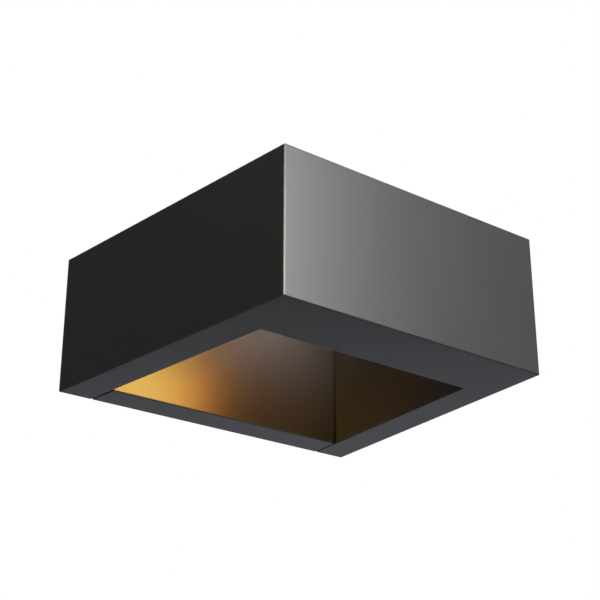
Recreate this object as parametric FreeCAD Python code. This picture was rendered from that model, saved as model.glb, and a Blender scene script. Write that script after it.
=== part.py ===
import FreeCAD, Part
import math
import os

from FreeCAD import Vector

# Wall pack light: a trapezoid downlight casing that pulls forward off a box on the wall.
# Millimetres.  The origin is the middle of the wall-screw pattern on the wall plane,
# +X is to the right of someone facing the wall, +Y goes into the wall and +Z is up.

# Casing outline
front_width = 170.0
wall_width = 200.0
casing_depth = 180.0
casing_height = 79.0
corner_round = 0.8
edge_round = 0.4

# Bands of the underside, and the seams beside the wall box
arm_width = 20.0
front_block_depth = 40.0
wall_box_depth = 20.0
seam_gap = 0.7
mouth_bevel = 0.3

# Walls of the casting
outer_wall = 4.0
inner_wall = 2.5
floor_thickness = 3.0
cover_rim = 1.6
bulkhead_from_wall = 24.0
bulkhead_thickness = 4.0

# Cover
cover_thickness = 3.0
cover_side_gap = 0.3
cover_gasket_thickness = 1.0
cover_running_gap = 0.3
cover_boss_gap = 0.1
cover_boss_length = 20.0
arm_boss_spots = (-95.0, -40.0)

# Wall box
box_wall = 2.5
box_front_wall = 3.0
box_boss_length = 8.0
hook_lip_thickness = 0.9
hook_lip_height = 3.5
hook_lip_length = 120.0

# Wall plate and its gasket
plate_thickness = 2.0
plate_gap = 1.0
plate_lug_depth = 14.0
plate_lug_length = 64.0
plate_lug_gap = 0.1
plate_hook_gap = 1.5
ear_height = 62.0
wall_gasket_thickness = 1.0
gasket_hook_gap = 0.5
notch_depth = 11.0
notch_gap = 0.5

# Wall fixings
wall_slot_spacing_x = 120.0
wall_slot_spacing_z = 44.0
box_slot_spacing = 60.0
slot_radius = 2.6
slot_length = 9.0
gasket_hole_gap = 0.8

# Cable grommet
grommet_bore_radius = 4.5
grommet_neck_radius = 7.0
grommet_flange_radius = 9.0
grommet_front_flange = 3.5

# Screws
thread_gap = 0.02
hole_gap = 0.25
tapping_depth_extra = 1.0
m4_radius = 2.0
m4_head_radius = 3.8
m4_head_height = 1.9
m4_key = 2.5
m3_radius = 1.5
m3_head_radius = 2.75
m3_head_height = 1.6
m3_key = 2.0
key_depth_share = 0.6
flat_head_rim = 0.3
boss_wall = 2.2
boss_sink = 1.7

# Screw lengths and places
cover_screw_length = 12.0
locking_screw_length = 10.0
locking_screw_spacing = 100.0
locking_slot_neck = 1.0
locking_head_gap = 0.1
box_screw_length = 6.0
box_screw_spacing = 44.0
heat_sink_screw_length = 12.0
driver_screw_length = 8.0
plug_screw_length = 6.0
socket_screw_length = 4.8
terminal_screw_length = 5.0
earth_screw_length = 6.0

# Locating pins between the wall plate and the casing
pin_radius = 2.5
pin_running_gap = 0.08
pin_end_gap = 2.0
pin_length = 28.0
pin_height = 26.0
pin_boss_radius = 4.5
pin_boss_end = 2.0

# LED window in the front block, and what is stacked behind it
window_height = 38.0
window_below_top = 34.0
window_side_margin = 16.0
pane_lap = 4.0
pane_thickness = 3.0
window_gasket_thickness = 1.0
tray_depth = 10.0
tray_wall = 2.0
board_thickness = 1.6
board_end_lap = 5.0
heat_sink_base = 4.0
heat_sink_lap = 5.0
fin_depth = 6.0
fin_thickness = 1.5
fin_pitch = 9.0
post_radius = 4.0
post_from_side = 4.4
post_height_spread = 36.0
led_columns = 8
led_rows = 2
led_pitch_x = 12.0
led_pitch_z = 14.0
led_size = 3.5
led_thickness = 0.8
lens_radius = 1.5

# Driver in the left arm
driver_front = -132.0
driver_rear = -48.0
driver_height = 36.0
driver_side_gap = 0.8
driver_foot = 8.0
driver_foot_thickness = 3.0
driver_boss_height = 6.0
driver_boss_radius = 4.0
driver_edge_round = 1.0

# Plug and socket that part when the casing is pulled off
connector_side_gap = 2.2
connector_body_height = 26.0
connector_flange_height = 42.0
connector_screw_spacing = 34.0
connector_face_gap = 0.5
socket_depth = 15.0
socket_flange_thickness = 3.0
plug_flange_thickness = 2.5
plug_seal_thickness = 1.0
plug_stem_height = 22.0
plug_stem_narrowing = 3.0
plug_stem_length = 6.0
plug_stem_gap = 0.2
contact_radius = 1.0
contact_reach = 9.0
contact_pitch = 7.0
contact_running_gap = 0.06
contact_wall = 0.6
contact_entry_gap = 0.2
contact_sleeve_length = 8.0
contact_sleeve_from_face = 4.0

# Vent in the right arm's bulkhead
vent_thread_radius = 4.0
vent_thread_length = 7.0
vent_head_flats = 10.0
vent_head_height = 4.0
vent_hole_radius = 1.0
vent_hole_depth = 3.0
vent_seal_thickness = 1.0
vent_seal_radius = 5.0

# Terminal block on the wall plate, between the grommet and the socket
terminal_x = -45.0
terminal_pole_pitch = 12.0
terminal_width = 16.0
terminal_depth = 12.0
terminal_end_ear = 7.0
terminal_ear_width = 8.0
terminal_ear_thickness = 3.0
terminal_entry_radius = 1.9
terminal_entry_depth = 4.0
terminal_well_radius = 2.2
terminal_well_depth = 4.0
clamp_screw_radius = 2.0
clamp_screw_height = 2.5
clamp_slot_width = 0.6

# Earth points
plate_earth_x = -20.0
plate_earth_z = -25.0
casing_earth_spot = -40.0
earth_lug_radius = 4.2
earth_lug_thickness = 0.8
earth_tongue_length = 7.5
earth_tongue_width = 3.0
earth_boss_height = 5.0
earth_boss_radius = 4.0

# Leads
core_radius = 1.2
lead_arc_share = 0.45
lead_straight = 6.0
wall_lead_lane = 4.5
driver_lead_pitch = 7.0
driver_lead_below_top = 4.0
board_lead_pitch = 6.0
board_lead_run = 18.0
board_lead_corner_gap = 6.0
pin_tip_bevel = 0.4
contact_tip_bevel = 0.2

overshoot = 1.0

# Levels and depths that follow from the sizes above
underside = -casing_height / 2
top = casing_height / 2
floor_top = underside + floor_thickness
cover_under = top - cover_thickness
trough_top = cover_under - cover_gasket_thickness
boss_top = cover_under - cover_boss_gap
box_top = cover_under - cover_running_gap
box_front = -wall_box_depth
cavity_front = -casing_depth + front_block_depth
trough_front = -casing_depth + outer_wall
trough_inner_front = cavity_front - inner_wall
bulkhead_rear = -bulkhead_from_wall
bulkhead_front = bulkhead_rear - bulkhead_thickness
hollow_width = arm_width - outer_wall - inner_wall
hollow_middle = outer_wall + hollow_width / 2
boss_inset = outer_wall + m4_radius + boss_wall - boss_sink
boss_radius = m4_radius + boss_wall
plate_rear = -wall_gasket_thickness
plate_front = plate_rear - plate_thickness
box_inset = arm_width + seam_gap
box_hollow_bottom = underside + box_wall
box_hollow_top = box_top - box_wall
plate_bottom = box_hollow_bottom + plate_hook_gap
plate_top = box_hollow_top - plate_lug_gap
window_middle = top - window_below_top
pane_front = trough_inner_front - window_gasket_thickness
tray_front = pane_front - pane_thickness
board_front = tray_front - tray_depth
sink_front = board_front - board_thickness
sink_rear = sink_front - heat_sink_base
socket_face = plate_front - socket_depth
connector_width = hollow_width - 2 * connector_side_gap
contact_heights = tuple(contact_pitch * step for step in (1, 0, -1))
pole_heights = tuple(terminal_pole_pitch * step for step in (1, 0, -1))
terminal_height = terminal_pole_pitch * len(pole_heights)
taper = (wall_width - front_width) / 2 / casing_depth
splay = math.degrees(math.atan(taper))
sides = (-1, 1)

m4 = (m4_radius, m4_head_radius, m4_head_height, m4_key)
m3 = (m3_radius, m3_head_radius, m3_head_height, m3_key)

to_front = Vector(0, -1, 0)
to_wall = Vector(0, 1, 0)
up = Vector(0, 0, 1)
down = Vector(0, 0, -1)


# ---- shared shapes ----------------------------------------------------------------------

def half_width(y, inset):
    """Half the casing's width at depth y, less an inset measured along X."""
    return wall_width / 2 + taper * y - inset


def tapered(front, rear, inset):
    """Plan outline between two depths, with sides parallel to the casing's sides."""
    near = half_width(front, inset)
    far = half_width(rear, inset)
    return [(-near, front), (near, front), (far, rear), (-far, rear)]


def horseshoe(front, inner_front, rear, outer_inset, inner_inset):
    """Plan outline of the front block and both arms, between two insets."""
    outer_near = half_width(front, outer_inset)
    outer_far = half_width(rear, outer_inset)
    inner_near = half_width(inner_front, inner_inset)
    inner_far = half_width(rear, inner_inset)
    right = [(outer_near, front), (outer_far, rear), (inner_far, rear), (inner_near, inner_front)]
    left = [(-x, y) for x, y in reversed(right)]
    return right + left


def slab(outline, low, high):
    """Upright prism over a plan outline."""
    corners = [Vector(x, y, low) for x, y in outline]
    return Part.Face(Part.makePolygon(corners + corners[:1])).extrude(Vector(0, 0, high - low))


def block(x_span, y_span, z_span):
    """Box between the low and high ends of three spans."""
    spans = (x_span, y_span, z_span)
    low = Vector(*(min(span) for span in spans))
    lengths = [max(span) - min(span) for span in spans]
    return Part.makeBox(*lengths, low)


def around(middle, width):
    """Span of a width centred on a middle."""
    return (middle - width / 2, middle + width / 2)


def rod(radius, start, direction, length):
    """Cylinder from a start point along a unit direction."""
    return Part.makeCylinder(radius, length, start, direction)


def hexagon(flats, start, direction, length):
    """Six-sided prism with a given width across its flats."""
    reach = flats / math.sqrt(3)
    turns = [math.radians(60 * step) for step in range(6)]
    corners = [Vector(reach * math.cos(turn), reach * math.sin(turn), 0) for turn in turns]
    prism = Part.Face(Part.makePolygon(corners + corners[:1])).extrude(up * length)
    prism.Placement = FreeCAD.Placement(start, FreeCAD.Rotation(up, direction))
    return prism


def joined(shapes):
    """One solid from several that overlap."""
    first, *rest = shapes
    return first.fuse(rest).removeSplitter()


def pan_screw(size, length, seat, direction):
    """Low-head screw: the head's underside is at seat, and the shank runs along direction."""
    radius, head_radius, head_height, key = size
    crown = seat - direction * head_height
    head = rod(head_radius, crown, direction, head_height)
    shank = rod(radius, seat, direction, length)
    recess = hexagon(key, crown, direction, head_height * key_depth_share)
    return joined([head, shank]).cut(recess)


def flat_screw(size, length, face, direction):
    """Countersunk screw whose head lies flush with face."""
    radius, head_radius, _, key = size
    rim = rod(head_radius, face, direction, flat_head_rim)
    cone = countersink(size, face, direction, 0)
    shank = rod(radius, face, direction, length)
    recess = hexagon(key, face, direction, (head_radius - radius) * key_depth_share)
    return joined([rim, cone, shank]).cut(recess)


def countersink(size, face, direction, gap):
    """Right-angled seat for a countersunk head, with its short straight rim."""
    radius, head_radius, _, _ = size
    depth = head_radius - radius
    rim = rod(head_radius + gap, face, direction, flat_head_rim)
    start = face + direction * flat_head_rim
    cone = Part.makeCone(head_radius + gap, radius + gap, depth, start, direction)
    return rim.fuse(cone)


def clear_hole(size, start, direction, length):
    """Hole that a screw of this size passes freely."""
    return rod(size[0] + hole_gap, start, direction, length)


def tapped_hole(size, start, direction, length):
    """Threaded hole at the screw's own size, a little deeper than the screw."""
    return rod(size[0] + thread_gap, start, direction, length + tapping_depth_extra)


def slot_cut(middle_x, middle_z):
    """Level slot through everything between the wall and the front of the plate."""
    depth = (plate_front - overshoot, overshoot)
    straight = slot_length / 2 - slot_radius
    bar = block(around(middle_x, 2 * straight), depth, around(middle_z, 2 * slot_radius))
    ends = [rod(slot_radius, Vector(middle_x + side * straight, depth[0], middle_z), to_wall,
                depth[1] - depth[0]) for side in sides]
    return bar.fuse(ends)


def in_arm(shape, side, y):
    """Turn a shape drawn about the origin onto the middle of an arm's hollow at depth y."""
    turned = shape.copy()
    turned.rotate(Vector(), up, -side * splay)
    turned.translate(Vector(side * half_width(y, hollow_middle), y, 0))
    return turned


def lead(points):
    """Insulated core along straight runs joined by tangent arcs."""
    route = [Vector(*point) for point in points]
    start = route[0]
    edges = []
    for before, corner, after in zip(route, route[1:], route[2:]):
        arriving = (corner - before)
        leaving = (after - corner)
        tangent = lead_arc_share * min(arriving.Length, leaving.Length)
        half_turn = arriving.getAngle(leaving) / 2
        radius = tangent / math.tan(half_turn)
        arriving.normalize()
        leaving.normalize()
        inward = (leaving - arriving).normalize()
        middle = corner + inward * (radius / math.cos(half_turn) - radius)
        edges.append(Part.LineSegment(start, corner - arriving * tangent).toShape())
        start = corner + leaving * tangent
        edges.append(Part.Arc(corner - arriving * tangent, middle, start).toShape())
    edges.append(Part.LineSegment(start, route[-1]).toShape())
    ring = Part.Wire(Part.makeCircle(core_radius, route[0], route[1] - route[0]))
    return Part.Wire(edges).makePipeShell([ring], True, False)


# ---- places that several pieces share ---------------------------------------------------

def cover_screw_spots():
    """Plan places of the cover's screws: the front block's middle and corners, then the arms."""
    front = trough_front + boss_inset - outer_wall
    spots = [(0.0, front)]
    for side in sides:
        spots.append((side * half_width(front, boss_inset), front))
        for y in arm_boss_spots:
            spots.append((side * half_width(y, boss_inset), y))
    return spots


def locking_screw_spots():
    """Plan places of the two screws that hold the cover down on the wall box."""
    return [(side * locking_screw_spacing / 2, box_front / 2) for side in sides]


def box_screw_spots():
    """Plan places of the two screws that hold the wall box on the plate's lug."""
    return [(side * box_screw_spacing / 2, box_front / 2) for side in sides]


def pin_spots():
    """X and Z of the four locating pins, two in each arm."""
    x = half_width(bulkhead_rear / 2, hollow_middle)
    return [(side * x, level * pin_height) for side in sides for level in sides]


def connector_x():
    """X of the plug and socket in the left arm."""
    return -half_width(bulkhead_rear / 2, hollow_middle)


def contact_spots():
    """X and Z of the plug's contacts: live on top, neutral in the middle, earth below."""
    return [(connector_x(), z) for z in contact_heights]


def connector_screw_spots():
    """X and Z of the two screws in the flange of the plug or the socket."""
    return [(connector_x(), side * connector_screw_spacing / 2) for side in sides]


def window_half_width():
    """Half the width of the opening that the light leaves by."""
    return half_width(cavity_front, arm_width) - window_side_margin


def post_spots():
    """X and Z of the four posts that carry the heat sink."""
    x = half_width(cavity_front, arm_width) - post_from_side
    rise = post_height_spread / 2
    return [(side * x, window_middle + level * rise) for side in sides for level in sides]


def driver_foot_offsets():
    """Distances of the driver's two feet from its middle, along the arm."""
    reach = (driver_rear - driver_front - driver_foot) / 2
    return (-reach, reach)


def wall_slot_spots():
    """X and Z of the four slots for wall screws."""
    x = wall_slot_spacing_x / 2
    z = wall_slot_spacing_z / 2
    return [(side * x, level * z) for side in sides for level in sides]


def junction_slot_spots():
    """X and Z of the two slots over the screws of a round junction box."""
    return [(side * box_slot_spacing / 2, 0.0) for side in sides]


# ---- casing -----------------------------------------------------------------------------

def casing_prism():
    """Outer form with its show edges rounded; the edges against the wall stay sharp."""
    prism = slab(tapered(-casing_depth, 0, 0), underside, top)
    upright = [edge for edge in prism.Edges
               if edge.BoundBox.ZLength > edge_round and edge.BoundBox.YMax < -casing_depth / 2]
    prism = prism.makeFillet(corner_round, upright)
    level = [edge for edge in prism.Edges
             if edge.BoundBox.ZLength < edge_round and edge.BoundBox.YMin < -edge_round]
    return prism.makeFillet(edge_round, level)


def casing_hollows():
    """Mouth of the downlight, pocket of the cover, sealed trough and open ends of the arms."""
    mouth = slab(tapered(cavity_front, overshoot, arm_width), underside - overshoot, top + overshoot)
    pocket = slab(tapered(-casing_depth + cover_rim, overshoot, cover_rim), trough_top,
                  top + overshoot)
    trough = slab(horseshoe(trough_front, trough_inner_front, bulkhead_front, outer_wall,
                            arm_width - inner_wall), floor_top, top)
    ends = slab(tapered(bulkhead_rear, overshoot, outer_wall), floor_top, top)
    between = slab(tapered(bulkhead_rear, overshoot, arm_width - inner_wall), floor_top, top)
    return [mouth, pocket, trough, ends.cut(between)]


def cover_bosses():
    """Posts along the outer wall that take the cover's screws."""
    return [rod(boss_radius, Vector(x, y, boss_top), down, cover_boss_length)
            for x, y in cover_screw_spots()]


def pin_bosses():
    """Blind bosses on the bulkheads, round the ends of the locating pins."""
    root = bulkhead_rear - bulkhead_thickness / 2
    reach = pin_bore_depth() + pin_boss_end - bulkhead_thickness / 2
    return [rod(pin_boss_radius, Vector(x, root, z), to_front, reach) for x, z in pin_spots()]


def pin_bore_depth():
    """Depth of a locating pin's bore in the bulkhead, with room past the pin's end."""
    return pin_length - bulkhead_from_wall - plate_front + pin_end_gap


def heat_sink_posts():
    """Posts on the inner front wall, as long as the stack behind the window."""
    length = cavity_front - sink_front - inner_wall / 2
    start = cavity_front - inner_wall / 2
    return [rod(post_radius, Vector(x, start, z), to_front, length) for x, z in post_spots()]


def floor_boss(radius, height, offset):
    """Upright boss from inside the floor, at an offset along the arm."""
    root = underside + floor_thickness / 2
    return rod(radius, Vector(0, offset, root), up, floor_top - root + height)


def floor_bosses():
    """Bosses in the left arm under the driver's feet and under the casing's earth screw."""
    feet = [in_arm(floor_boss(driver_boss_radius, driver_boss_height, offset), -1,
                   driver_middle()) for offset in driver_foot_offsets()]
    earth = floor_boss(earth_boss_radius, earth_boss_height, 0)
    return feet + [in_arm(earth, -1, casing_earth_spot)]


def casing_drillings():
    """Tapped holes, pin bores, window, plug cut-out, vent hole and notches."""
    cuts = [tapped_hole(m4, Vector(x, y, boss_top), down, cover_screw_length)
            for x, y in cover_screw_spots()]
    cuts += [rod(pin_radius + pin_running_gap, Vector(x, bulkhead_rear, z), to_front,
                 pin_bore_depth()) for x, z in pin_spots()]
    cuts += [tapped_hole(m4, Vector(x, sink_front, z), to_wall, heat_sink_screw_length
                         - heat_sink_base) for x, z in post_spots()]
    cuts += [tapped_hole(m3, Vector(x, bulkhead_rear, z), to_front, bulkhead_thickness)
             for x, z in connector_screw_spots()]
    for offset in driver_foot_offsets():
        hole = tapped_hole(m3, Vector(0, offset, driver_bottom()), down,
                           driver_screw_length - driver_foot_thickness)
        cuts.append(in_arm(hole, -1, driver_middle()))
    earth = tapped_hole(m4, Vector(0, 0, floor_top + earth_boss_height), down,
                        earth_screw_length - earth_lug_thickness)
    cuts.append(in_arm(earth, -1, casing_earth_spot))
    cuts.append(block((-window_half_width(), window_half_width()),
                      (trough_inner_front - overshoot, cavity_front + overshoot),
                      around(window_middle, window_height)))
    cuts.append(plug_stem(plug_stem_gap))
    cuts.append(rod(vent_thread_radius + thread_gap, vent_seat(), to_front,
                    bulkhead_thickness + overshoot))
    cuts.append(block((-wall_width, wall_width), (-notch_depth, overshoot),
                      around(0, ear_height + 2 * notch_gap)).common(inner_wall_band()))
    return cuts


def inner_wall_band():
    """Space of the two thin walls beside the wall box."""
    return slab(tapered(box_front, overshoot, arm_width - inner_wall - overshoot), underside, top)


def bevel_mouth(casing):
    """Break the lower edges of the mouth and of the seams beside the wall box."""
    def at_mouth(edge):
        box = edge.BoundBox
        low = box.ZMax < underside + edge_round / 2
        inside = box.XMax < half_width(box.YMin, outer_wall) and box.XMin > -half_width(
            box.YMin, outer_wall)
        behind_front = box.YMin > trough_front
        long_enough = edge.Length > arm_width + overshoot
        return low and inside and behind_front and long_enough
    return casing.makeChamfer(mouth_bevel, [edge for edge in casing.Edges if at_mouth(edge)])


def housing_shell():
    """Cast casing: front block and two arms round the open mouth."""
    casing = casing_prism().cut(casing_hollows())
    casing = casing.fuse(cover_bosses() + pin_bosses() + heat_sink_posts() + floor_bosses())
    casing = casing.cut(casing_drillings()).removeSplitter()
    return bevel_mouth(casing)


def top_cover():
    """Flat lid let into the casing's rim; its open slots pass the locking screws."""
    inset = cover_rim + cover_side_gap
    lid = slab(tapered(-casing_depth + inset, 0, inset), cover_under, top)
    cuts = []
    for x, y in cover_screw_spots():
        cuts.append(countersink(m4, Vector(x, y, top), down, 0))
        cuts.append(clear_hole(m4, Vector(x, y, top), down, cover_thickness + overshoot))
    for x, y in locking_screw_spots():
        cuts += open_slot(x, y, m4_radius + hole_gap, cover_under - overshoot)
        cuts += open_slot(x, y, m4_head_radius + hole_gap, cover_under + locking_slot_neck)
    return lid.cut(cuts)


def open_slot(x, y, radius, bottom):
    """Slot from a screw's place out through the lid's wall edge."""
    round_end = rod(radius, Vector(x, y, bottom), up, casing_height)
    way_out = block(around(x, 2 * radius), (y, overshoot), (bottom, bottom + casing_height))
    return [round_end, way_out]


def cover_gasket():
    """Flat seal on the ledge and on the tops of the inner walls and bulkheads."""
    inset = cover_rim + cover_side_gap
    outline = horseshoe(-casing_depth + inset, cavity_front, bulkhead_rear, inset, arm_width)
    opening = horseshoe(trough_front, trough_inner_front, bulkhead_front, outer_wall,
                        arm_width - inner_wall)
    seal = slab(outline, trough_top, cover_under)
    hole = slab(opening, trough_top - overshoot, cover_under + overshoot)
    bosses = [rod(boss_radius, Vector(x, y, cover_under + overshoot), down, cover_boss_length)
              for x, y in cover_screw_spots()]
    return seal.cut([hole] + bosses)


def cover_screws():
    """Countersunk screws of the cover."""
    return Part.makeCompound([flat_screw(m4, cover_screw_length, Vector(x, y, top), down)
                              for x, y in cover_screw_spots()])


# ---- light engine in the front block ----------------------------------------------------

def window_layer(lap, front, rear, opening_lap=None):
    """Flat piece round the window, with or without an opening of its own."""
    half = window_half_width() + lap
    layer = block((-half, half), (front, rear), around(window_middle, window_height + 2 * lap))
    if opening_lap is None:
        return layer
    half = window_half_width() + opening_lap
    opening = block((-half, half), (front - overshoot, rear + overshoot),
                    around(window_middle, window_height + 2 * opening_lap))
    return layer.cut(opening)


def window_gasket():
    """Seal between the inner front wall and the pane."""
    return window_layer(pane_lap, pane_front, trough_inner_front, 0)


def window_pane():
    """Frosted pane that the light leaves by."""
    return window_layer(pane_lap, tray_front, pane_front)


def light_tray():
    """White frame that spaces the LED board off the pane and holds the pane on its seal."""
    return window_layer(tray_wall, board_front, tray_front, 0)


def led_board():
    """Metal-cored circuit board, longer than the tray so that its ends take the leads."""
    half = window_half_width() + tray_wall + board_end_lap
    return block((-half, half), (sink_front, board_front),
                 around(window_middle, window_height + 2 * tray_wall))


def led_packages():
    """Rows of LEDs, each a square package with a low round lens."""
    packages = []
    for column in range(led_columns):
        x = (column - (led_columns - 1) / 2) * led_pitch_x
        for row in range(led_rows):
            z = window_middle + (row - (led_rows - 1) / 2) * led_pitch_z
            body = block(around(x, led_size), (board_front, board_front + led_thickness),
                         around(z, led_size))
            dome = Part.makeSphere(lens_radius, Vector(x, board_front + led_thickness, z))
            room = block(around(x, led_size), (board_front, board_front + led_size),
                         around(z, led_size))
            packages.append(joined([body, dome.common(room)]))
    return Part.makeCompound(packages)


def heat_sink():
    """Plate on the four posts with upright fins towards the front of the casing."""
    half = post_spots()[-1][0] + heat_sink_lap
    height = window_height + 2 * tray_wall + 2 * heat_sink_lap
    plate = block((-half, half), (sink_rear, sink_front), around(window_middle, height))
    finned = window_half_width()
    count = 2 * int(finned / fin_pitch) + 1
    fins = [block(around((step - count // 2) * fin_pitch, fin_thickness),
                  (sink_rear - fin_depth, sink_rear), around(window_middle, height))
            for step in range(count)]
    holes = [clear_hole(m4, Vector(x, sink_rear - overshoot, z), to_wall,
                        heat_sink_base + 2 * overshoot) for x, z in post_spots()]
    return joined([plate] + fins).cut(holes)


def heat_sink_screws():
    """Screws that pull the heat sink, board, tray and pane onto the window's seal."""
    return Part.makeCompound([pan_screw(m4, heat_sink_screw_length, Vector(x, sink_rear, z),
                                        to_wall) for x, z in post_spots()])


# ---- driver -----------------------------------------------------------------------------

def driver_middle():
    """Depth of the driver's middle."""
    return (driver_front + driver_rear) / 2


def driver_bottom():
    """Level of the driver's feet."""
    return floor_top + driver_boss_height


def driver():
    """Slim potted driver with a screw foot at each end, along the left arm."""
    width = hollow_width - 2 * driver_side_gap
    length = driver_rear - driver_front
    low = driver_bottom()
    case = block(around(0, width), around(0, length - 2 * driver_foot), (low, low + driver_height))
    case = case.makeFillet(driver_edge_round, case.Edges)
    feet = block(around(0, width), around(0, length), (low, low + driver_foot_thickness))
    whole = joined([case, feet])
    for offset in driver_foot_offsets():
        hole = clear_hole(m3, Vector(0, offset, low - overshoot), up,
                          driver_foot_thickness + 2 * overshoot)
        whole = whole.cut(hole)
    return in_arm(whole, -1, driver_middle())


def driver_screws():
    """Screws through the driver's feet."""
    seat = driver_bottom() + driver_foot_thickness
    screws = []
    for offset in driver_foot_offsets():
        screw = pan_screw(m3, driver_screw_length, Vector(0, offset, seat), down)
        screws.append(in_arm(screw, -1, driver_middle()))
    return Part.makeCompound(screws)


# ---- plug and socket --------------------------------------------------------------------

def contact_rod(radius, start, length):
    """Cylinders along Y at the three contacts, from a depth towards the front."""
    return [rod(radius, Vector(x, start, z), to_front, length) for x, z in contact_spots()]


def plug_face():
    """Depth of the plug's mating face, just short of the socket."""
    return socket_face - connector_face_gap


def plug_stem(gap):
    """Part of the plug that goes through the bulkhead, grown by a gap."""
    width = connector_width - plug_stem_narrowing + 2 * gap
    height = plug_stem_height + 2 * gap
    front = bulkhead_front - plug_stem_length
    return block(around(connector_x(), width), (front, bulkhead_rear), around(0, height))


def plug_body():
    """Plug moulding: flange on the bulkhead, nose to the socket and stem through the wall."""
    seat = bulkhead_rear + plug_seal_thickness
    flange = block(around(connector_x(), connector_width), (seat, seat + plug_flange_thickness),
                   around(0, connector_flange_height))
    nose = block(around(connector_x(), connector_width), (seat, plug_face()),
                 around(0, connector_body_height))
    neck = plug_stem(0).fuse(plug_neck(0))
    body = joined([flange, nose, neck])
    holes = [clear_hole(m3, Vector(x, seat - overshoot, z), to_wall, plug_face() - seat
                        + 2 * overshoot) for x, z in connector_screw_spots()]
    return body.cut(holes + plug_contact_rods())


def plug_neck(gap):
    """Stretch of the plug inside its seal."""
    width = connector_width - plug_stem_narrowing + 2 * gap
    return block(around(connector_x(), width), (bulkhead_rear, bulkhead_rear
                 + plug_seal_thickness), around(0, plug_stem_height + 2 * gap))


def plug_seal():
    """Seal between the plug's flange and the bulkhead."""
    sheet = block(around(connector_x(), connector_width), (bulkhead_rear, bulkhead_rear
                  + plug_seal_thickness), around(0, connector_flange_height))
    holes = [clear_hole(m3, Vector(x, bulkhead_rear, z), to_wall, plug_seal_thickness)
             for x, z in connector_screw_spots()]
    return sheet.cut([plug_neck(plug_stem_gap)] + holes)


def plug_contact_rods():
    """The plug's pins as plain rods, from the stem's front to the depth they reach."""
    front = bulkhead_front - plug_stem_length
    length = plug_face() + contact_reach - front
    return contact_rod(contact_radius, plug_face() + contact_reach, length)


def plug_contacts():
    """Brass pins of the plug, their tips broken."""
    pins = []
    for pin in plug_contact_rods():
        tips = [edge for edge in pin.Edges if edge.Curve.TypeId == "Part::GeomCircle"]
        pins.append(pin.makeChamfer(contact_tip_bevel, tips))
    return Part.makeCompound(pins)


def plug_screws():
    """Screws of the plug's flange."""
    seat = bulkhead_rear + plug_seal_thickness + plug_flange_thickness
    return Part.makeCompound([pan_screw(m3, plug_screw_length, Vector(x, seat, z), to_front)
                              for x, z in connector_screw_spots()])


def socket_sleeve_start():
    """Depth of the front ends of the socket's contacts."""
    return socket_face + contact_sleeve_from_face


def socket_body():
    """Socket moulding on the wall plate's left ear."""
    body = block(around(connector_x(), connector_width), (socket_face, plate_front),
                 around(0, connector_body_height))
    flange = block(around(connector_x(), connector_width),
                   (plate_front - socket_flange_thickness, plate_front),
                   around(0, connector_flange_height))
    entries = contact_rod(contact_radius + contact_entry_gap, socket_sleeve_start(),
                          contact_sleeve_from_face + overshoot)
    seats = contact_rod(contact_outer_radius(), socket_sleeve_start() + contact_sleeve_length,
                        contact_sleeve_length)
    holes = [clear_hole(m3, Vector(x, plate_front - socket_flange_thickness - overshoot, z),
                        to_wall, socket_flange_thickness + 2 * overshoot)
             for x, z in connector_screw_spots()]
    return joined([body, flange]).cut(entries + seats + holes)


def contact_outer_radius():
    """Outer radius of a socket contact."""
    return contact_radius + contact_running_gap + contact_wall


def socket_contacts():
    """Brass sleeves that the plug's pins enter."""
    rear = socket_sleeve_start() + contact_sleeve_length
    outer = contact_rod(contact_outer_radius(), rear, contact_sleeve_length)
    inner = contact_rod(contact_radius + contact_running_gap, rear + overshoot,
                        contact_sleeve_length + 2 * overshoot)
    return Part.makeCompound([sleeve.cut(bore) for sleeve, bore in zip(outer, inner)])


def socket_screws():
    """Screws of the socket's flange."""
    seat = plate_front - socket_flange_thickness
    return Part.makeCompound([pan_screw(m3, socket_screw_length, Vector(x, seat, z), to_wall)
                              for x, z in connector_screw_spots()])


# ---- vent -------------------------------------------------------------------------------

def vent_seat():
    """Middle of the vent's hole on the right bulkhead's wall side."""
    return Vector(half_width(bulkhead_rear, hollow_middle), bulkhead_rear, 0)


def vent_plug():
    """Hexagonal breather plug with a blind air hole in its head and one along its thread."""
    seat = vent_seat() + to_wall * vent_seal_thickness
    head = hexagon(vent_head_flats, seat, to_wall, vent_head_height)
    thread = rod(vent_thread_radius, seat, to_front, vent_thread_length)
    air = rod(vent_hole_radius, seat + to_wall * (vent_head_height - vent_hole_depth), to_wall,
              vent_head_height)
    passage = rod(vent_hole_radius, seat + to_front * vent_hole_depth, to_front,
                  vent_thread_length)
    return joined([head, thread]).cut([air, passage])


def vent_seal():
    """Ring under the vent's head."""
    ring = rod(vent_seal_radius, vent_seat(), to_wall, vent_seal_thickness)
    return ring.cut(rod(vent_thread_radius + thread_gap, vent_seat(), to_wall,
                        vent_seal_thickness))


# ---- wall side --------------------------------------------------------------------------

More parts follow.
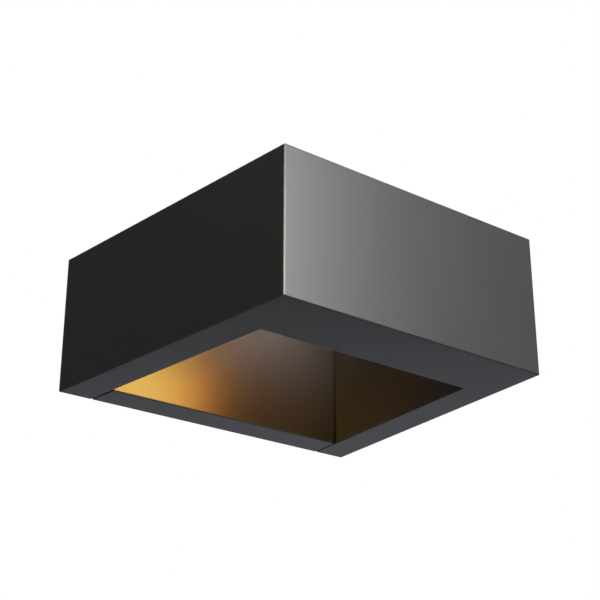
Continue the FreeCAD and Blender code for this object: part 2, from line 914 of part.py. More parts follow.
def wall_box():
    """Box over the wall plate; its front is the back wall of the downlight's mouth."""
    outside = slab(tapered(box_front, 0, box_inset), underside, box_top)
    low_front = [edge for edge in outside.Edges
                 if edge.BoundBox.ZMax < underside + edge_round and edge.BoundBox.YMin < -edge_round]
    outside = outside.makeChamfer(mouth_bevel, low_front)
    hollow = slab(tapered(box_front + box_front_wall, overshoot, box_inset + box_wall),
                  box_hollow_bottom, box_hollow_top)
    notch = block((-wall_width, wall_width), (-notch_depth, overshoot),
                  around(0, ear_height + 2 * notch_gap))
    lip = block(around(0, hook_lip_length), (-hook_lip_thickness, 0),
                (box_hollow_bottom - box_wall / 2, box_hollow_bottom + hook_lip_height))
    box = outside.cut([hollow, notch])
    bosses = [rod(boss_radius, Vector(x, y, box_top), down, box_boss_length)
              for x, y in locking_screw_spots()]
    box = joined([box, lip] + bosses)
    cuts = [tapped_hole(m4, Vector(x, y, box_top), down, box_boss_length)
            for x, y in locking_screw_spots()]
    for x, y in box_screw_spots():
        cuts.append(countersink(m4, Vector(x, y, box_top), down, 0))
        cuts.append(clear_hole(m4, Vector(x, y, box_top), down, box_wall + overshoot))
    return box.cut(cuts)


def box_screws():
    """Countersunk screws through the box's top into the plate's lug."""
    return Part.makeCompound([flat_screw(m4, box_screw_length, Vector(x, y, box_top), down)
                              for x, y in box_screw_spots()])


def locking_screws():
    """Low-head screws in the cover's open slots, threaded into the wall box."""
    seat = cover_under + locking_slot_neck + locking_head_gap
    return Part.makeCompound([pan_screw(m4, locking_screw_length, Vector(x, y, seat), down)
                              for x, y in locking_screw_spots()])


def plate_outline(rear, front, bottom, high):
    """Plate or gasket sheet with an ear into each arm."""
    half = half_width(plate_front, box_inset + box_wall) - plate_gap
    reach = half_width(plate_front, outer_wall) - plate_gap
    middle = block((-half, half), (front, rear), (bottom, high))
    ears = block((-reach, reach), (front, rear), around(0, ear_height))
    return joined([middle, ears])


def fixing_cuts():
    """Wall slots and junction-box slots, the same through the plate and its gasket."""
    return [slot_cut(x, z) for x, z in wall_slot_spots() + junction_slot_spots()]


def wall_plate():
    """Steel plate that stays on the wall: slots, cable hole, ears and a lug for the box."""
    sheet = plate_outline(plate_rear, plate_front, plate_bottom, plate_top)
    lug = block(around(0, plate_lug_length), (plate_rear - plate_lug_depth, plate_rear),
                (plate_top - plate_thickness, plate_top))
    cuts = fixing_cuts()
    cuts.append(rod(grommet_neck_radius, Vector(0, overshoot, 0), to_front, casing_depth))
    cuts += [tapped_hole(m4, Vector(x, y, plate_top), down, plate_thickness)
             for x, y in box_screw_spots()]
    cuts += [rod(pin_radius, Vector(x, plate_rear, z), to_front, plate_thickness)
             for x, z in pin_spots()]
    cuts += [tapped_hole(m3, Vector(x, plate_front, z), to_wall, plate_thickness)
             for x, z in connector_screw_spots() + terminal_ear_spots()]
    cuts.append(tapped_hole(m4, Vector(plate_earth_x, plate_front, plate_earth_z), to_wall,
                            plate_thickness))
    return joined([sheet, lug]).cut(cuts)


def wall_gasket():
    """Sheet seal between the plate and the wall, cut away round every hole."""
    low = box_hollow_bottom + hook_lip_height + gasket_hook_gap
    sheet = plate_outline(0, plate_rear, low, plate_top)
    cuts = fixing_cuts()
    cuts.append(rod(grommet_flange_radius + gasket_hole_gap, Vector(0, overshoot, 0), to_front,
                    casing_depth))
    cuts += [rod(m4_radius + gasket_hole_gap, Vector(x, overshoot, z), to_front, casing_depth)
             for x, z in [(plate_earth_x, plate_earth_z)] + connector_screw_spots()
             + terminal_ear_spots()]
    return sheet.cut(cuts)


def cable_grommet():
    """Rubber grommet in the plate, with the bore for the supply cable."""
    front_flange = rod(grommet_flange_radius, Vector(0, plate_front, 0), to_front,
                       grommet_front_flange)
    neck = rod(grommet_neck_radius, Vector(0, plate_rear, 0), to_front, plate_thickness)
    rear_flange = rod(grommet_flange_radius, Vector(), to_front, wall_gasket_thickness)
    bore = rod(grommet_bore_radius, Vector(0, overshoot, 0), to_front, casing_depth)
    return joined([front_flange, neck, rear_flange]).cut(bore)


def locating_pins():
    """Dowels pressed into the plate's ears."""
    pins = []
    for x, z in pin_spots():
        pin = rod(pin_radius, Vector(x, plate_rear, z), to_front, pin_length + plate_thickness)
        tip = [edge for edge in pin.Edges if edge.BoundBox.YMax < -pin_length]
        pins.append(pin.makeChamfer(pin_tip_bevel, tip))
    return Part.makeCompound(pins)


def terminal_ear_spots():
    """X and Z of the two screws that hold the terminal block."""
    z = (terminal_height + terminal_end_ear) / 2
    return [(terminal_x, level * z) for level in sides]


def terminal_block():
    """Three-pole block: screw wells in front, supply entries right, casing entries left."""
    front = plate_front - terminal_depth
    body = block(around(terminal_x, terminal_width), (front, plate_front),
                 around(0, terminal_height))
    ears = block(around(terminal_x, terminal_ear_width),
                 (plate_front - terminal_ear_thickness, plate_front),
                 around(0, terminal_height + 2 * terminal_end_ear))
    cuts = []
    for z in pole_heights:
        cuts.append(rod(terminal_well_radius, Vector(terminal_x, front, z), to_wall,
                        terminal_well_depth))
        for side in sides:
            cuts.append(rod(terminal_entry_radius, pole_entry(z, side, 0), Vector(-side, 0, 0),
                            terminal_entry_depth))
    cuts += [clear_hole(m3, Vector(x, front, z), to_wall, terminal_depth)
             for x, z in terminal_ear_spots()]
    return joined([body, ears]).cut(cuts)


def pole_entry(z, side, depth):
    """Point on a pole's entry, at a depth inside the terminal block's side."""
    return Vector(terminal_x + side * (terminal_width / 2 - depth),
                  plate_front - terminal_depth / 2, z)


def terminal_screws():
    """Slotted clamping screws at the bottom of the terminal block's wells."""
    seat = plate_front - terminal_depth + terminal_well_depth
    crown = seat - clamp_screw_height
    screws = []
    for z in pole_heights:
        head = rod(clamp_screw_radius, Vector(terminal_x, seat, z), to_front, clamp_screw_height)
        slot = block(around(terminal_x, clamp_slot_width),
                     around(crown, clamp_screw_height), around(z, 2 * terminal_well_radius))
        screws.append(head.cut(slot))
    return Part.makeCompound(screws)


def terminal_block_screws():
    """Screws through the terminal block's ears."""
    seat = plate_front - terminal_ear_thickness
    return Part.makeCompound([pan_screw(m3, terminal_screw_length, Vector(x, seat, z), to_wall)
                              for x, z in terminal_ear_spots()])


# ---- earth points and leads -------------------------------------------------------------

def ring_lug():
    """Flat ring with a tongue along -Y that its lead is crimped to, lying on the origin."""
    ring = rod(earth_lug_radius, Vector(), up, earth_lug_thickness)
    tongue = block(around(0, earth_tongue_width), (-earth_tongue_length, 0),
                   (0, earth_lug_thickness))
    return joined([ring, tongue]).cut(clear_hole(m4, Vector(), up, earth_lug_thickness))


def plate_earth_lug():
    """Ring of the earth lead on the wall plate, its tongue upwards."""
    lug = ring_lug()
    lug.rotate(Vector(), Vector(1, 0, 0), 90)
    lug.rotate(Vector(), to_wall, 180)
    lug.translate(Vector(plate_earth_x, plate_front, plate_earth_z))
    return lug


def plate_earth_screw():
    """Earth screw of the wall plate."""
    seat = Vector(plate_earth_x, plate_front - earth_lug_thickness, plate_earth_z)
    return pan_screw(m4, earth_lug_thickness + plate_thickness, seat, to_wall)


def casing_earth_level():
    """Top of the earth boss on the left arm's floor."""
    return floor_top + earth_boss_height


def casing_earth_lug():
    """Ring of the earth lead on the casing, its tongue towards the front."""
    lug = ring_lug()
    lug.translate(Vector(0, 0, casing_earth_level()))
    return in_arm(lug, -1, casing_earth_spot)


def casing_earth_screw():
    """Earth screw of the casing."""
    seat = Vector(0, 0, casing_earth_level() + earth_lug_thickness)
    return in_arm(pan_screw(m4, earth_screw_length, seat, down), -1, casing_earth_spot)


def eased_lead(start, away, finish, into, reaches=(lead_straight, lead_straight)):
    """Lead that leaves start along one direction and reaches finish along another."""
    return lead([start, start + away * reaches[0], finish - into * reaches[1], finish])


def wall_lead(contact):
    """Core from a pole of the terminal block to its contact in the socket."""
    to_socket = Vector(-1, 0, 0)
    start = pole_entry(pole_heights[contact], -1, terminal_entry_depth)
    finish = Vector(connector_x() + connector_width / 2, plate_front - wall_lead_lane,
                    contact_heights[contact])
    reach = terminal_entry_depth + lead_straight
    return eased_lead(start, to_socket, finish, to_socket, (reach, lead_straight))


def plate_earth_lead():
    """Core from the earth pole's right side down to the ring on the wall plate."""
    start = pole_entry(pole_heights[-1], 1, terminal_entry_depth)
    finish = Vector(plate_earth_x, plate_front - core_radius, plate_earth_z
                    + earth_tongue_length)
    reach = terminal_entry_depth + lead_straight
    return eased_lead(start, Vector(1, 0, 0), finish, down, (reach, lead_straight / 2))


def plug_lead_start(contact):
    """Front end of one of the plug's pins, where its lead is soldered."""
    return Vector(connector_x(), bulkhead_front - plug_stem_length, contact_heights[contact])


def left_arm_to_front():
    """Unit direction along the left arm, away from the wall."""
    turn = math.radians(splay)
    return Vector(math.sin(turn), -math.cos(turn), 0)


def driver_end(end, step):
    """Point on the driver's case: end -1 is its front, 1 its rear, step counts down."""
    half = (driver_rear - driver_front) / 2 - driver_foot
    level = driver_bottom() + driver_height - driver_lead_below_top - step * driver_lead_pitch
    middle = Vector(-half_width(driver_middle(), hollow_middle), driver_middle(), level)
    return middle - left_arm_to_front() * end * half


def mains_lead(contact):
    """Core from the plug to the driver: 0 is live, 1 is neutral."""
    return eased_lead(plug_lead_start(contact), to_front, driver_end(1, contact),
                      left_arm_to_front())


def casing_earth_lead():
    """Core from the plug's earth pin down to the ring on the casing."""
    tongue = in_arm(Part.Vertex(0, core_radius - earth_tongue_length,
                                casing_earth_level() + earth_lug_thickness),
                    -1, casing_earth_spot)
    return eased_lead(plug_lead_start(-1), to_front, tongue.Point, down,
                      (lead_straight, 2 * lead_straight))


def board_lead(step):
    """Core from the driver's front round the corner to the LED board's left end."""
    start = driver_end(-1, step)
    end_x = -window_half_width() - tray_wall - board_end_lap / 2
    finish = Vector(end_x, board_front, window_middle + (1 - 2 * step) * board_lead_pitch / 2)
    corner = Vector(start.x + board_lead_corner_gap, trough_inner_front - board_lead_corner_gap,
                    (start.z + finish.z) / 2)
    turn = finish + to_wall * board_lead_corner_gap
    return lead([start, start + left_arm_to_front() * board_lead_run, corner, turn, finish])


def nodes():
    """Every piece by its node name."""
    return {
        "housing_shell": housing_shell(),
        "top_cover": top_cover(),
        "cover_gasket": cover_gasket(),
        "cover_screws": cover_screws(),
        "window_gasket": window_gasket(),
        "window_pane": window_pane(),
        "light_tray": light_tray(),
        "led_board": led_board(),
        "led_packages": led_packages(),
        "heat_sink": heat_sink(),
        "heat_sink_screws": heat_sink_screws(),
        "driver": driver(),
        "driver_screws": driver_screws(),
        "plug_body": plug_body(),
        "plug_seal": plug_seal(),
        "plug_contacts": plug_contacts(),
        "plug_screws": plug_screws(),
        "vent_plug": vent_plug(),
        "vent_seal": vent_seal(),
        "casing_earth_lug": casing_earth_lug(),
        "casing_earth_screw": casing_earth_screw(),
        "casing_live_lead": mains_lead(0),
        "casing_neutral_lead": mains_lead(1),
        "casing_earth_lead": casing_earth_lead(),
        "board_plus_lead": board_lead(0),
        "board_minus_lead": board_lead(1),
        "wall_box": wall_box(),
        "box_screws": box_screws(),
        "locking_screws": locking_screws(),
        "wall_plate": wall_plate(),
        "wall_gasket": wall_gasket(),
        "cable_grommet": cable_grommet(),
        "locating_pins": locating_pins(),
        "socket_body": socket_body(),
        "socket_contacts": socket_contacts(),
        "socket_screws": socket_screws(),
        "terminal_block": terminal_block(),
        "terminal_screws": terminal_screws(),
        "terminal_block_screws": terminal_block_screws(),
        "plate_earth_lug": plate_earth_lug(),
        "plate_earth_screw": plate_earth_screw(),
        "wall_live_lead": wall_lead(0),
        "wall_neutral_lead": wall_lead(1),
        "wall_earth_lead": wall_lead(2),
        "plate_earth_lead": plate_earth_lead(),
    }


os.makedirs("parts", exist_ok=True)
for name, shape in nodes().items():
    shape.exportStep(f"parts/{name}.step")
    print(f"{name}: {len(shape.Solids)} solids, {shape.Volume:.1f} mm3, valid {shape.isValid()}")
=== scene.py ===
"""Wall pack light: finishes, fasteners, light engine, cable grommet and studio."""

import logging
import math
from dataclasses import dataclass
from enum import Enum
from typing import Callable, Optional, Sequence, Union

import bmesh
import bpy
from mathutils import Euler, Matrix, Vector


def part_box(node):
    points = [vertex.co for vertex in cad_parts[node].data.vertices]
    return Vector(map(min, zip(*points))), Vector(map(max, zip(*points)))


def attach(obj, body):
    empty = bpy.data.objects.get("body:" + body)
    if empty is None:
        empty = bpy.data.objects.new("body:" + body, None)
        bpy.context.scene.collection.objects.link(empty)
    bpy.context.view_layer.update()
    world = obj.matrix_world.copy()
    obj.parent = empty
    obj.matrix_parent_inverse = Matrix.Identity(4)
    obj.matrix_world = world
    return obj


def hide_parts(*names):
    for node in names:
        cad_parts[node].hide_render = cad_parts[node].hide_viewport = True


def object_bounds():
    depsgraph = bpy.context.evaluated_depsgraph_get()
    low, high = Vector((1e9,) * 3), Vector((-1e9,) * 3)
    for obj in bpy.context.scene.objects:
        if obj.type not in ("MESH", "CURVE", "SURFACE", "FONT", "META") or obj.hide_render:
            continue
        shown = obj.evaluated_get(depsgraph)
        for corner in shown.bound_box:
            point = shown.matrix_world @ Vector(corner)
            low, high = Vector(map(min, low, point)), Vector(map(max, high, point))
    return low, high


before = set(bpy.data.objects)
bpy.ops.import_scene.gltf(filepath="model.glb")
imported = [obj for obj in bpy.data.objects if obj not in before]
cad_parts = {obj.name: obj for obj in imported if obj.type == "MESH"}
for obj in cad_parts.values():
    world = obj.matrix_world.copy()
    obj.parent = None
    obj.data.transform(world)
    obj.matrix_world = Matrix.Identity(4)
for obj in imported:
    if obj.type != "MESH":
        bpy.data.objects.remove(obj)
cad_low, cad_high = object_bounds()

MM = 0.001
SHARP_ANGLE = math.radians(32)
MERGE_DISTANCE = 0.001 * MM
MASK_MARGIN = 0.1 * MM
BEVEL_SAMPLES = 6
BOARD_ROUGHNESS = 0.8
# Share of an eased edge by which its middle point stands back from both faces.
EASE_SHARE = 0.3

log = logging.getLogger("wall_pack_light")

Colour = tuple[float, float, float, float]
Radius = Union[float, Callable[[float], float]]


# ---- node and mesh helpers -----------------------------------------------------------------

def linear(code: str) -> Colour:
    """Turn an sRGB hex value into a linear colour.

    Args:
        code: six hex digits after a hash sign.
    Returns:
        Linear red, green, blue and an alpha of 1.
    """
    shares = [int(code[start:start + 2], 16) / 255 for start in (1, 3, 5)]
    red, green, blue = [share / 12.92 if share <= 0.04045 else ((share + 0.055) / 1.055) ** 2.4
                        for share in shares]
    return (red, green, blue, 1.0)


def add_node(tree: bpy.types.NodeTree, kind: str, settings: Optional[dict] = None,
             links: Optional[dict] = None) -> bpy.types.Node:
    """Add a node with its settings and the links that feed it.

    Args:
        tree: Tree that gets the node.
        kind: Node type.
        settings: Values by attribute name, or by input name or number.
        links: Output sockets by the name or number of the input they feed.
    Returns:
        The new node.
    """
    node = tree.nodes.new(kind)
    for key, value in (settings or {}).items():
        if isinstance(key, str) and hasattr(node, key):
            setattr(node, key, value)
        else:
            node.inputs[key].default_value = value
    for key, output in (links or {}).items():
        tree.links.new(output, node.inputs[key])
    return node


def per_metre(size_mm: float) -> float:
    """Texture scale at which a pattern's features measure size_mm."""
    return 1 / (size_mm * MM)


def object_from(name: str, mesh: bpy.types.Mesh) -> bpy.types.Object:
    """Put a mesh into the scene as an object at the origin.

    Args:
        name: Name of the object.
        mesh: Its mesh.
    Returns:
        The object.
    """
    piece = bpy.data.objects.new(name, mesh)
    bpy.context.scene.collection.objects.link(piece)
    return piece


def mesh_from(name: str, shape: bmesh.types.BMesh) -> bpy.types.Mesh:
    """Turn a closed bmesh into a mesh with outward faces, smooth up to the sharp angle.

    Args:
        name: Name of the mesh.
        shape: The bmesh, which is freed.
    Returns:
        The finished mesh.
    """
    bmesh.ops.remove_doubles(shape, verts=shape.verts, dist=MERGE_DISTANCE)
    bmesh.ops.recalc_face_normals(shape, faces=shape.faces)
    for face in shape.faces:
        face.smooth = True
    for edge in shape.edges:
        edge.smooth = edge.calc_face_angle(0.0) < SHARP_ANGLE
    mesh = bpy.data.meshes.new(name)
    shape.to_mesh(mesh)
    shape.free()
    return mesh


def revolved(name: str, rows: Sequence[tuple[Radius, float]], segments: int,
             closed_ring: bool = False) -> bpy.types.Mesh:
    """Turn rows of radius and height about +Z.

    Args:
        name: Name of the mesh.
        rows: Radius, or radius as a function of the angle, and height, in millimetres.
        segments: Steps round the axis.
        closed_ring: Join the last row to the first, as on a ring, and not cap the ends.
    Returns:
        The closed mesh.
    """
    shape = bmesh.new()
    turns = [2 * math.pi * step / segments for step in range(segments)]
    rings = []
    for radius, height in rows:
        reach = radius if callable(radius) else (lambda turn, fixed=radius: fixed)
        rings.append([shape.verts.new(Vector((reach(turn) * math.cos(turn),
                                              reach(turn) * math.sin(turn), height)) * MM)
                      for turn in turns])
    pairs = list(zip(rings, rings[1:]))
    if closed_ring:
        pairs.append((rings[-1], rings[0]))
    for near, far in pairs:
        for step in range(segments):
            after = (step + 1) % segments
            shape.faces.new((near[step], near[after], far[after], far[step]))
    if not closed_ring:
        for ring in (rings[0], rings[-1]):
            shape.faces.new(ring)
    return mesh_from(name, shape)


def solids_of(node: str) -> list[tuple[Vector, Vector]]:
    """Find the separate solids of a CAD node.

    Args:
        node: Name of the node.
    Returns:
        Lowest and highest corner of each solid, in metres, sorted by the lowest corner.
    """
    shape = bmesh.new()
    shape.from_mesh(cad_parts[node].data)
    bmesh.ops.remove_doubles(shape, verts=shape.verts, dist=MERGE_DISTANCE)
    left = set(shape.verts)
    boxes = []
    while left:
        found = [left.pop()]
        for vertex in found:
            for edge in vertex.link_edges:
                other = edge.other_vert(vertex)
                if other in left:
                    left.remove(other)
                    found.append(other)
        places = [vertex.co.copy() for vertex in found]
        boxes.append((Vector([min(place[axis] for place in places) for axis in range(3)]),
                      Vector([max(place[axis] for place in places) for axis in range(3)])))
    shape.free()
    # Sorted, so that every run sets the pieces in the same order.
    return sorted(boxes, key=lambda box: tuple(box[0]))


def new_tree(name: str, inputs: dict[str, str]) -> tuple[bpy.types.NodeTree, bpy.types.Node]:
    """Start a geometry tree with named inputs after its geometry.

    Args:
        name: Name of the tree.
        inputs: Socket types by input name.
    Returns:
        The tree and its input node.
    """
    tree = bpy.data.node_groups.new(name, "GeometryNodeTree")
    tree.interface.new_socket("Geometry", in_out="INPUT", socket_type="NodeSocketGeometry")
    for label, kind in inputs.items():
        tree.interface.new_socket(label, in_out="INPUT", socket_type=kind)
    tree.interface.new_socket("Geometry", in_out="OUTPUT", socket_type="NodeSocketGeometry")
    return tree, add_node(tree, "NodeGroupInput")


def end_tree(tree: bpy.types.NodeTree, instances: bpy.types.NodeSocket,
             material: bpy.types.NodeSocket) -> None:
    """Close a tree with Realize Instances and Set Material.

    Args:
        tree: The tree.
        instances: Socket with the instances.
        material: Socket with the material.
    """
    real = add_node(tree, "GeometryNodeRealizeInstances", links={"Geometry": instances})
    dressed = add_node(tree, "GeometryNodeSetMaterial",
                       links={"Geometry": real.outputs["Geometry"], "Material": material})
    add_node(tree, "NodeGroupOutput", links={"Geometry": dressed.outputs["Geometry"]})


def grown(name: str, seed: bpy.types.Mesh, tree: bpy.types.NodeTree,
          values: dict) -> bpy.types.Object:
    """Run a geometry tree on a mesh and keep the result as a plain mesh.

    Args:
        name: Name of the piece.
        seed: Mesh that the tree starts from.
        tree: The geometry tree.
        values: Values by input name.
    Returns:
        The piece, with no modifier left on it.
    """
    piece = object_from(name, seed)
    modifier = piece.modifiers.new("grow", "NODES")
    modifier.node_group = tree
    for item in tree.interface.items_tree:
        if item.in_out == "INPUT" and item.name in values:
            modifier[item.identifier] = values[item.name]
    bpy.context.view_layer.update()
    evaluated = piece.evaluated_get(bpy.context.evaluated_depsgraph_get())
    result = bpy.data.meshes.new_from_object(evaluated)
    piece.modifiers.remove(modifier)
    piece.data = result
    result.name = name
    return piece


def copies_tree() -> bpy.types.NodeTree:
    """Tree that puts one turned copy of a template on every point.

    Returns:
        The tree, which is made when it is first asked for.
    """
    name = "copies_at_spots"
    if name in bpy.data.node_groups:
        return bpy.data.node_groups[name]
    tree, source = new_tree(name, {"Template": "NodeSocketObject", "Turn": "NodeSocketVector",
                                   "Finish": "NodeSocketMaterial"})
    template = add_node(tree, "GeometryNodeObjectInfo", {"transform_space": "ORIGINAL"},
                        {"Object": source.outputs["Template"]})
    turn = add_node(tree, "FunctionNodeEulerToRotation", links={0: source.outputs["Turn"]})
    spots = add_node(tree, "GeometryNodeMeshToPoints", {"mode": "VERTICES"},
                     {"Mesh": source.outputs["Geometry"]})
    copies = add_node(tree, "GeometryNodeInstanceOnPoints",
                      links={"Points": spots.outputs["Points"],
                             "Instance": template.outputs["Geometry"],
                             "Rotation": turn.outputs[0]})
    end_tree(tree, copies.outputs["Instances"], source.outputs["Finish"])
    return tree


def grid_tree() -> bpy.types.NodeTree:
    """Tree that puts a template on an upright grid of columns and rows.

    Returns:
        The tree, which is made when it is first asked for.
    """
    name = "upright_grid"
    if name in bpy.data.node_groups:
        return bpy.data.node_groups[name]
    tree, source = new_tree(name, {"Template": "NodeSocketObject", "Middle": "NodeSocketVector",
                                   "Columns": "NodeSocketInt", "Rows": "NodeSocketInt",
                                   "Width": "NodeSocketFloat", "Height": "NodeSocketFloat",
                                   "Finish": "NodeSocketMaterial"})
    template = add_node(tree, "GeometryNodeObjectInfo", {"transform_space": "ORIGINAL"},
                        {"Object": source.outputs["Template"]})
    grid = add_node(tree, "GeometryNodeMeshGrid",
                    links={"Size X": source.outputs["Width"], "Size Y": source.outputs["Height"],
                           "Vertices X": source.outputs["Columns"],
                           "Vertices Y": source.outputs["Rows"]})
    upright = add_node(tree, "GeometryNodeTransform", {"Rotation": (math.radians(90), 0, 0)},
                       {"Geometry": grid.outputs["Mesh"],
                        "Translation": source.outputs["Middle"]})
    copies = add_node(tree, "GeometryNodeInstanceOnPoints",
                      links={"Points": upright.outputs["Geometry"],
                             "Instance": template.outputs["Geometry"]})
    end_tree(tree, copies.outputs["Instances"], source.outputs["Finish"])
    return tree


# ---- finishes ------------------------------------------------------------------------------

class Finish:
    """A material that is made once and shared by every piece that wears it."""

    label: str

    def material(self) -> bpy.types.Material:
        """The finish's material, made when it is first asked for."""
        made = bpy.data.materials.get(self.label)
        return made if made is not None else self.make()

    def make(self) -> bpy.types.Material:
        """Make the material.

        Returns:
            The new material.
        """
        made = bpy.data.materials.new(self.label)
        made.use_nodes = True
        tree = made.node_tree
        tree.nodes.clear()
        place = add_node(tree, "ShaderNodeTexCoord").outputs["Object"]
        shader = add_node(tree, "ShaderNodeBsdfPrincipled")
        add_node(tree, "ShaderNodeOutputMaterial", links={"Surface": shader.outputs["BSDF"]})
        self.dress(tree, place, shader)
        return made

    def dress(self, tree: bpy.types.NodeTree, place: bpy.types.NodeSocket,
              shader: bpy.types.Node) -> None:
        """Add the finish's own nodes.

        Args:
            tree: The material's tree.
            place: Object coordinates.
            shader: The Principled shader.
        """
        raise NotImplementedError


def noise(tree: bpy.types.NodeTree, place: bpy.types.NodeSocket, size_mm: float,
          stretch: tuple[float, float, float] = (1, 1, 1), detail: float = 3) -> bpy.types.NodeSocket:
    """Noise with features of a real size.

    Args:
        tree: The material's tree.
        place: Object coordinates.
        size_mm: Size of the features.
        stretch: Scale along each axis, below 1 where features are drawn out.
        detail: Octaves of the noise.
    Returns:
        The noise's value, from 0 to 1.
    """
    drawn = add_node(tree, "ShaderNodeMapping", {"Scale": stretch}, {"Vector": place})
    return add_node(tree, "ShaderNodeTexNoise", {"Scale": per_metre(size_mm), "Detail": detail},
                    {"Vector": drawn.outputs["Vector"]}).outputs["Fac"]


def spread(tree: bpy.types.NodeTree, value: bpy.types.NodeSocket, low: float, high: float,
           start: float = 0.35, end: float = 0.65) -> bpy.types.NodeSocket:
    """Map the middle of a noise onto a range of values.

    Args:
        tree: The material's tree.
        value: The noise.
        low: Value given at start.
        high: Value given at end.
        start: Noise that gives low.
        end: Noise that gives high.
    Returns:
        The mapped value.
    """
    return add_node(tree, "ShaderNodeMapRange",
                    {"From Min": start, "From Max": end, "To Min": low, "To Max": high},
                    {"Value": value}).outputs["Result"]


def blended(tree: bpy.types.NodeTree, share: bpy.types.NodeSocket, first: str,
            second: str) -> bpy.types.NodeSocket:
    """Mix two colours by a value.

    Args:
        tree: The material's tree.
        share: Share of the second colour.
        first: sRGB hex value.
        second: sRGB hex value.
    Returns:
        The mixed colour.
    """
    mix = add_node(tree, "ShaderNodeMix", {"data_type": "RGBA", 6: linear(first),
                                           7: linear(second)}, {"Factor": share})
    return mix.outputs[2]


def relief(tree: bpy.types.NodeTree, shader: bpy.types.Node, height: bpy.types.NodeSocket,
           depth_mm: float, edge_mm: float = 0.25) -> None:
    """Give the shader a bump of a real depth over slightly rounded edges.

    Args:
        tree: The material's tree.
        shader: The Principled shader.
        height: Height from 0 to 1.
        depth_mm: Depth of the relief.
        edge_mm: Radius that edges seem to have.
    """
    eased = add_node(tree, "ShaderNodeBevel", {"samples": BEVEL_SAMPLES, "Radius": edge_mm * MM})
    bump = add_node(tree, "ShaderNodeBump", {"Distance": depth_mm * MM},
                    {"Height": height, "Normal": eased.outputs["Normal"]})
    tree.links.new(bump.outputs["Normal"], shader.inputs["Normal"])


def inside_mouth(tree: bpy.types.NodeTree, place: bpy.types.NodeSocket) -> bpy.types.NodeSocket:
    """Tell the walls of the mouth, which the powder coat darkens with painted shade, from the outside
    of the casing.

    Args:
        tree: The material's tree.
        place: Object coordinates.
    Returns:
        1 on the walls from the pane back to the wall box and from the rim up to the cover, else 0.
    """
    behind_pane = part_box("window_pane")[0].y
    wall_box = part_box("wall_box")
    # The arms' inner walls end just past the wall box's sides, and the casing's outside lies
    # further out than that along its whole depth.
    inner_reach = wall_box[1].x + MM
    parts = add_node(tree, "ShaderNodeSeparateXYZ", links={"Vector": place})
    across = add_node(tree, "ShaderNodeMath", {"operation": "ABSOLUTE"}, {0: parts.outputs["X"]})
    tests = ((across.outputs[0], "LESS_THAN", inner_reach),
             (parts.outputs["Y"], "GREATER_THAN", behind_pane),
             (parts.outputs["Y"], "LESS_THAN", wall_box[0].y + MASK_MARGIN),
             (parts.outputs["Z"], "GREATER_THAN", cad_low.z + MM),
             (parts.outputs["Z"], "LESS_THAN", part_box("top_cover")[0].z - MASK_MARGIN))
    inside = None
    for value, operation, limit in tests:
        passed = add_node(tree, "ShaderNodeMath", {"operation": operation, 1: limit}, {0: value})
        inside = passed if inside is None else add_node(
            tree, "ShaderNodeMath", {"operation": "MULTIPLY"},
            {0: inside.outputs[0], 1: passed.outputs[0]})
    return inside.outputs[0]


@dataclass(frozen=True)
class PowderCoat(Finish):
    """Satin graphite polyester powder, baked on a die-cast aluminium casing.

    The melted powder leaves a faint orange peel, which breaks up soft reflections, and a very
    slight drift of gloss.  It flows back from sharp edges, which look a little rounder for it.
    The walls of the mouth take a darker colour than the outside as painted shade, and a roughness of
    their own.
    """

    label: str = "powder_coat_graphite_satin"
    base: str = "#0f1011"
    fleck: str = "#141416"
    roughness_low: float = 0.28
    roughness_high: float = 0.33
    # Darker colour of the mouth's walls: painted shade.
    mouth_shade_and_gloss: str = "#09090a"
    mouth_roughness_low: float = 0.27
    mouth_roughness_high: float = 0.31
    edge_mm: float = 0.8
    peel_mm: float = 1.1
    peel_depth_mm: float = 0.004
    drift_mm: float = 45.0
    drift_reach: tuple[float, float] = (-0.5, 1.5)
    grain_mm: float = 0.6

    def dress(self, tree: bpy.types.NodeTree, place: bpy.types.NodeSocket,
              shader: bpy.types.Node) -> None:
        """Flecked colour, darker painted shade on the walls of the mouth, drifting gloss, and orange
        peel that rounds off at the edges.

        Args:
            tree: The material's tree.
            place: Object coordinates.
            shader: The Principled shader.
        """
        grain = spread(tree, noise(tree, place, self.grain_mm, detail=2), 0, 1)
        drift = noise(tree, place, self.drift_mm, detail=0)
        inside = inside_mouth(tree, place)
        # The walls of the mouth take the darker colour: painted shade.
        colour = add_node(tree, "ShaderNodeMix", {"data_type": "RGBA", 7: linear(self.mouth_shade_and_gloss)},
                          {"Factor": inside, 6: blended(tree, grain, self.base, self.fleck)})
        tree.links.new(colour.outputs[2], shader.inputs["Base Color"])
        weathered = spread(tree, drift, self.roughness_low, self.roughness_high, *self.drift_reach)
        mouth_shade_and_gloss = spread(tree, drift, self.mouth_roughness_low, self.mouth_roughness_high, *self.drift_reach)
        gloss = add_node(tree, "ShaderNodeMix",
                         links={"Factor": inside, "A": weathered, "B": mouth_shade_and_gloss})
        tree.links.new(gloss.outputs["Result"], shader.inputs["Roughness"])
        relief(tree, shader, noise(tree, place, self.peel_mm, detail=2), self.peel_depth_mm,
               self.edge_mm)


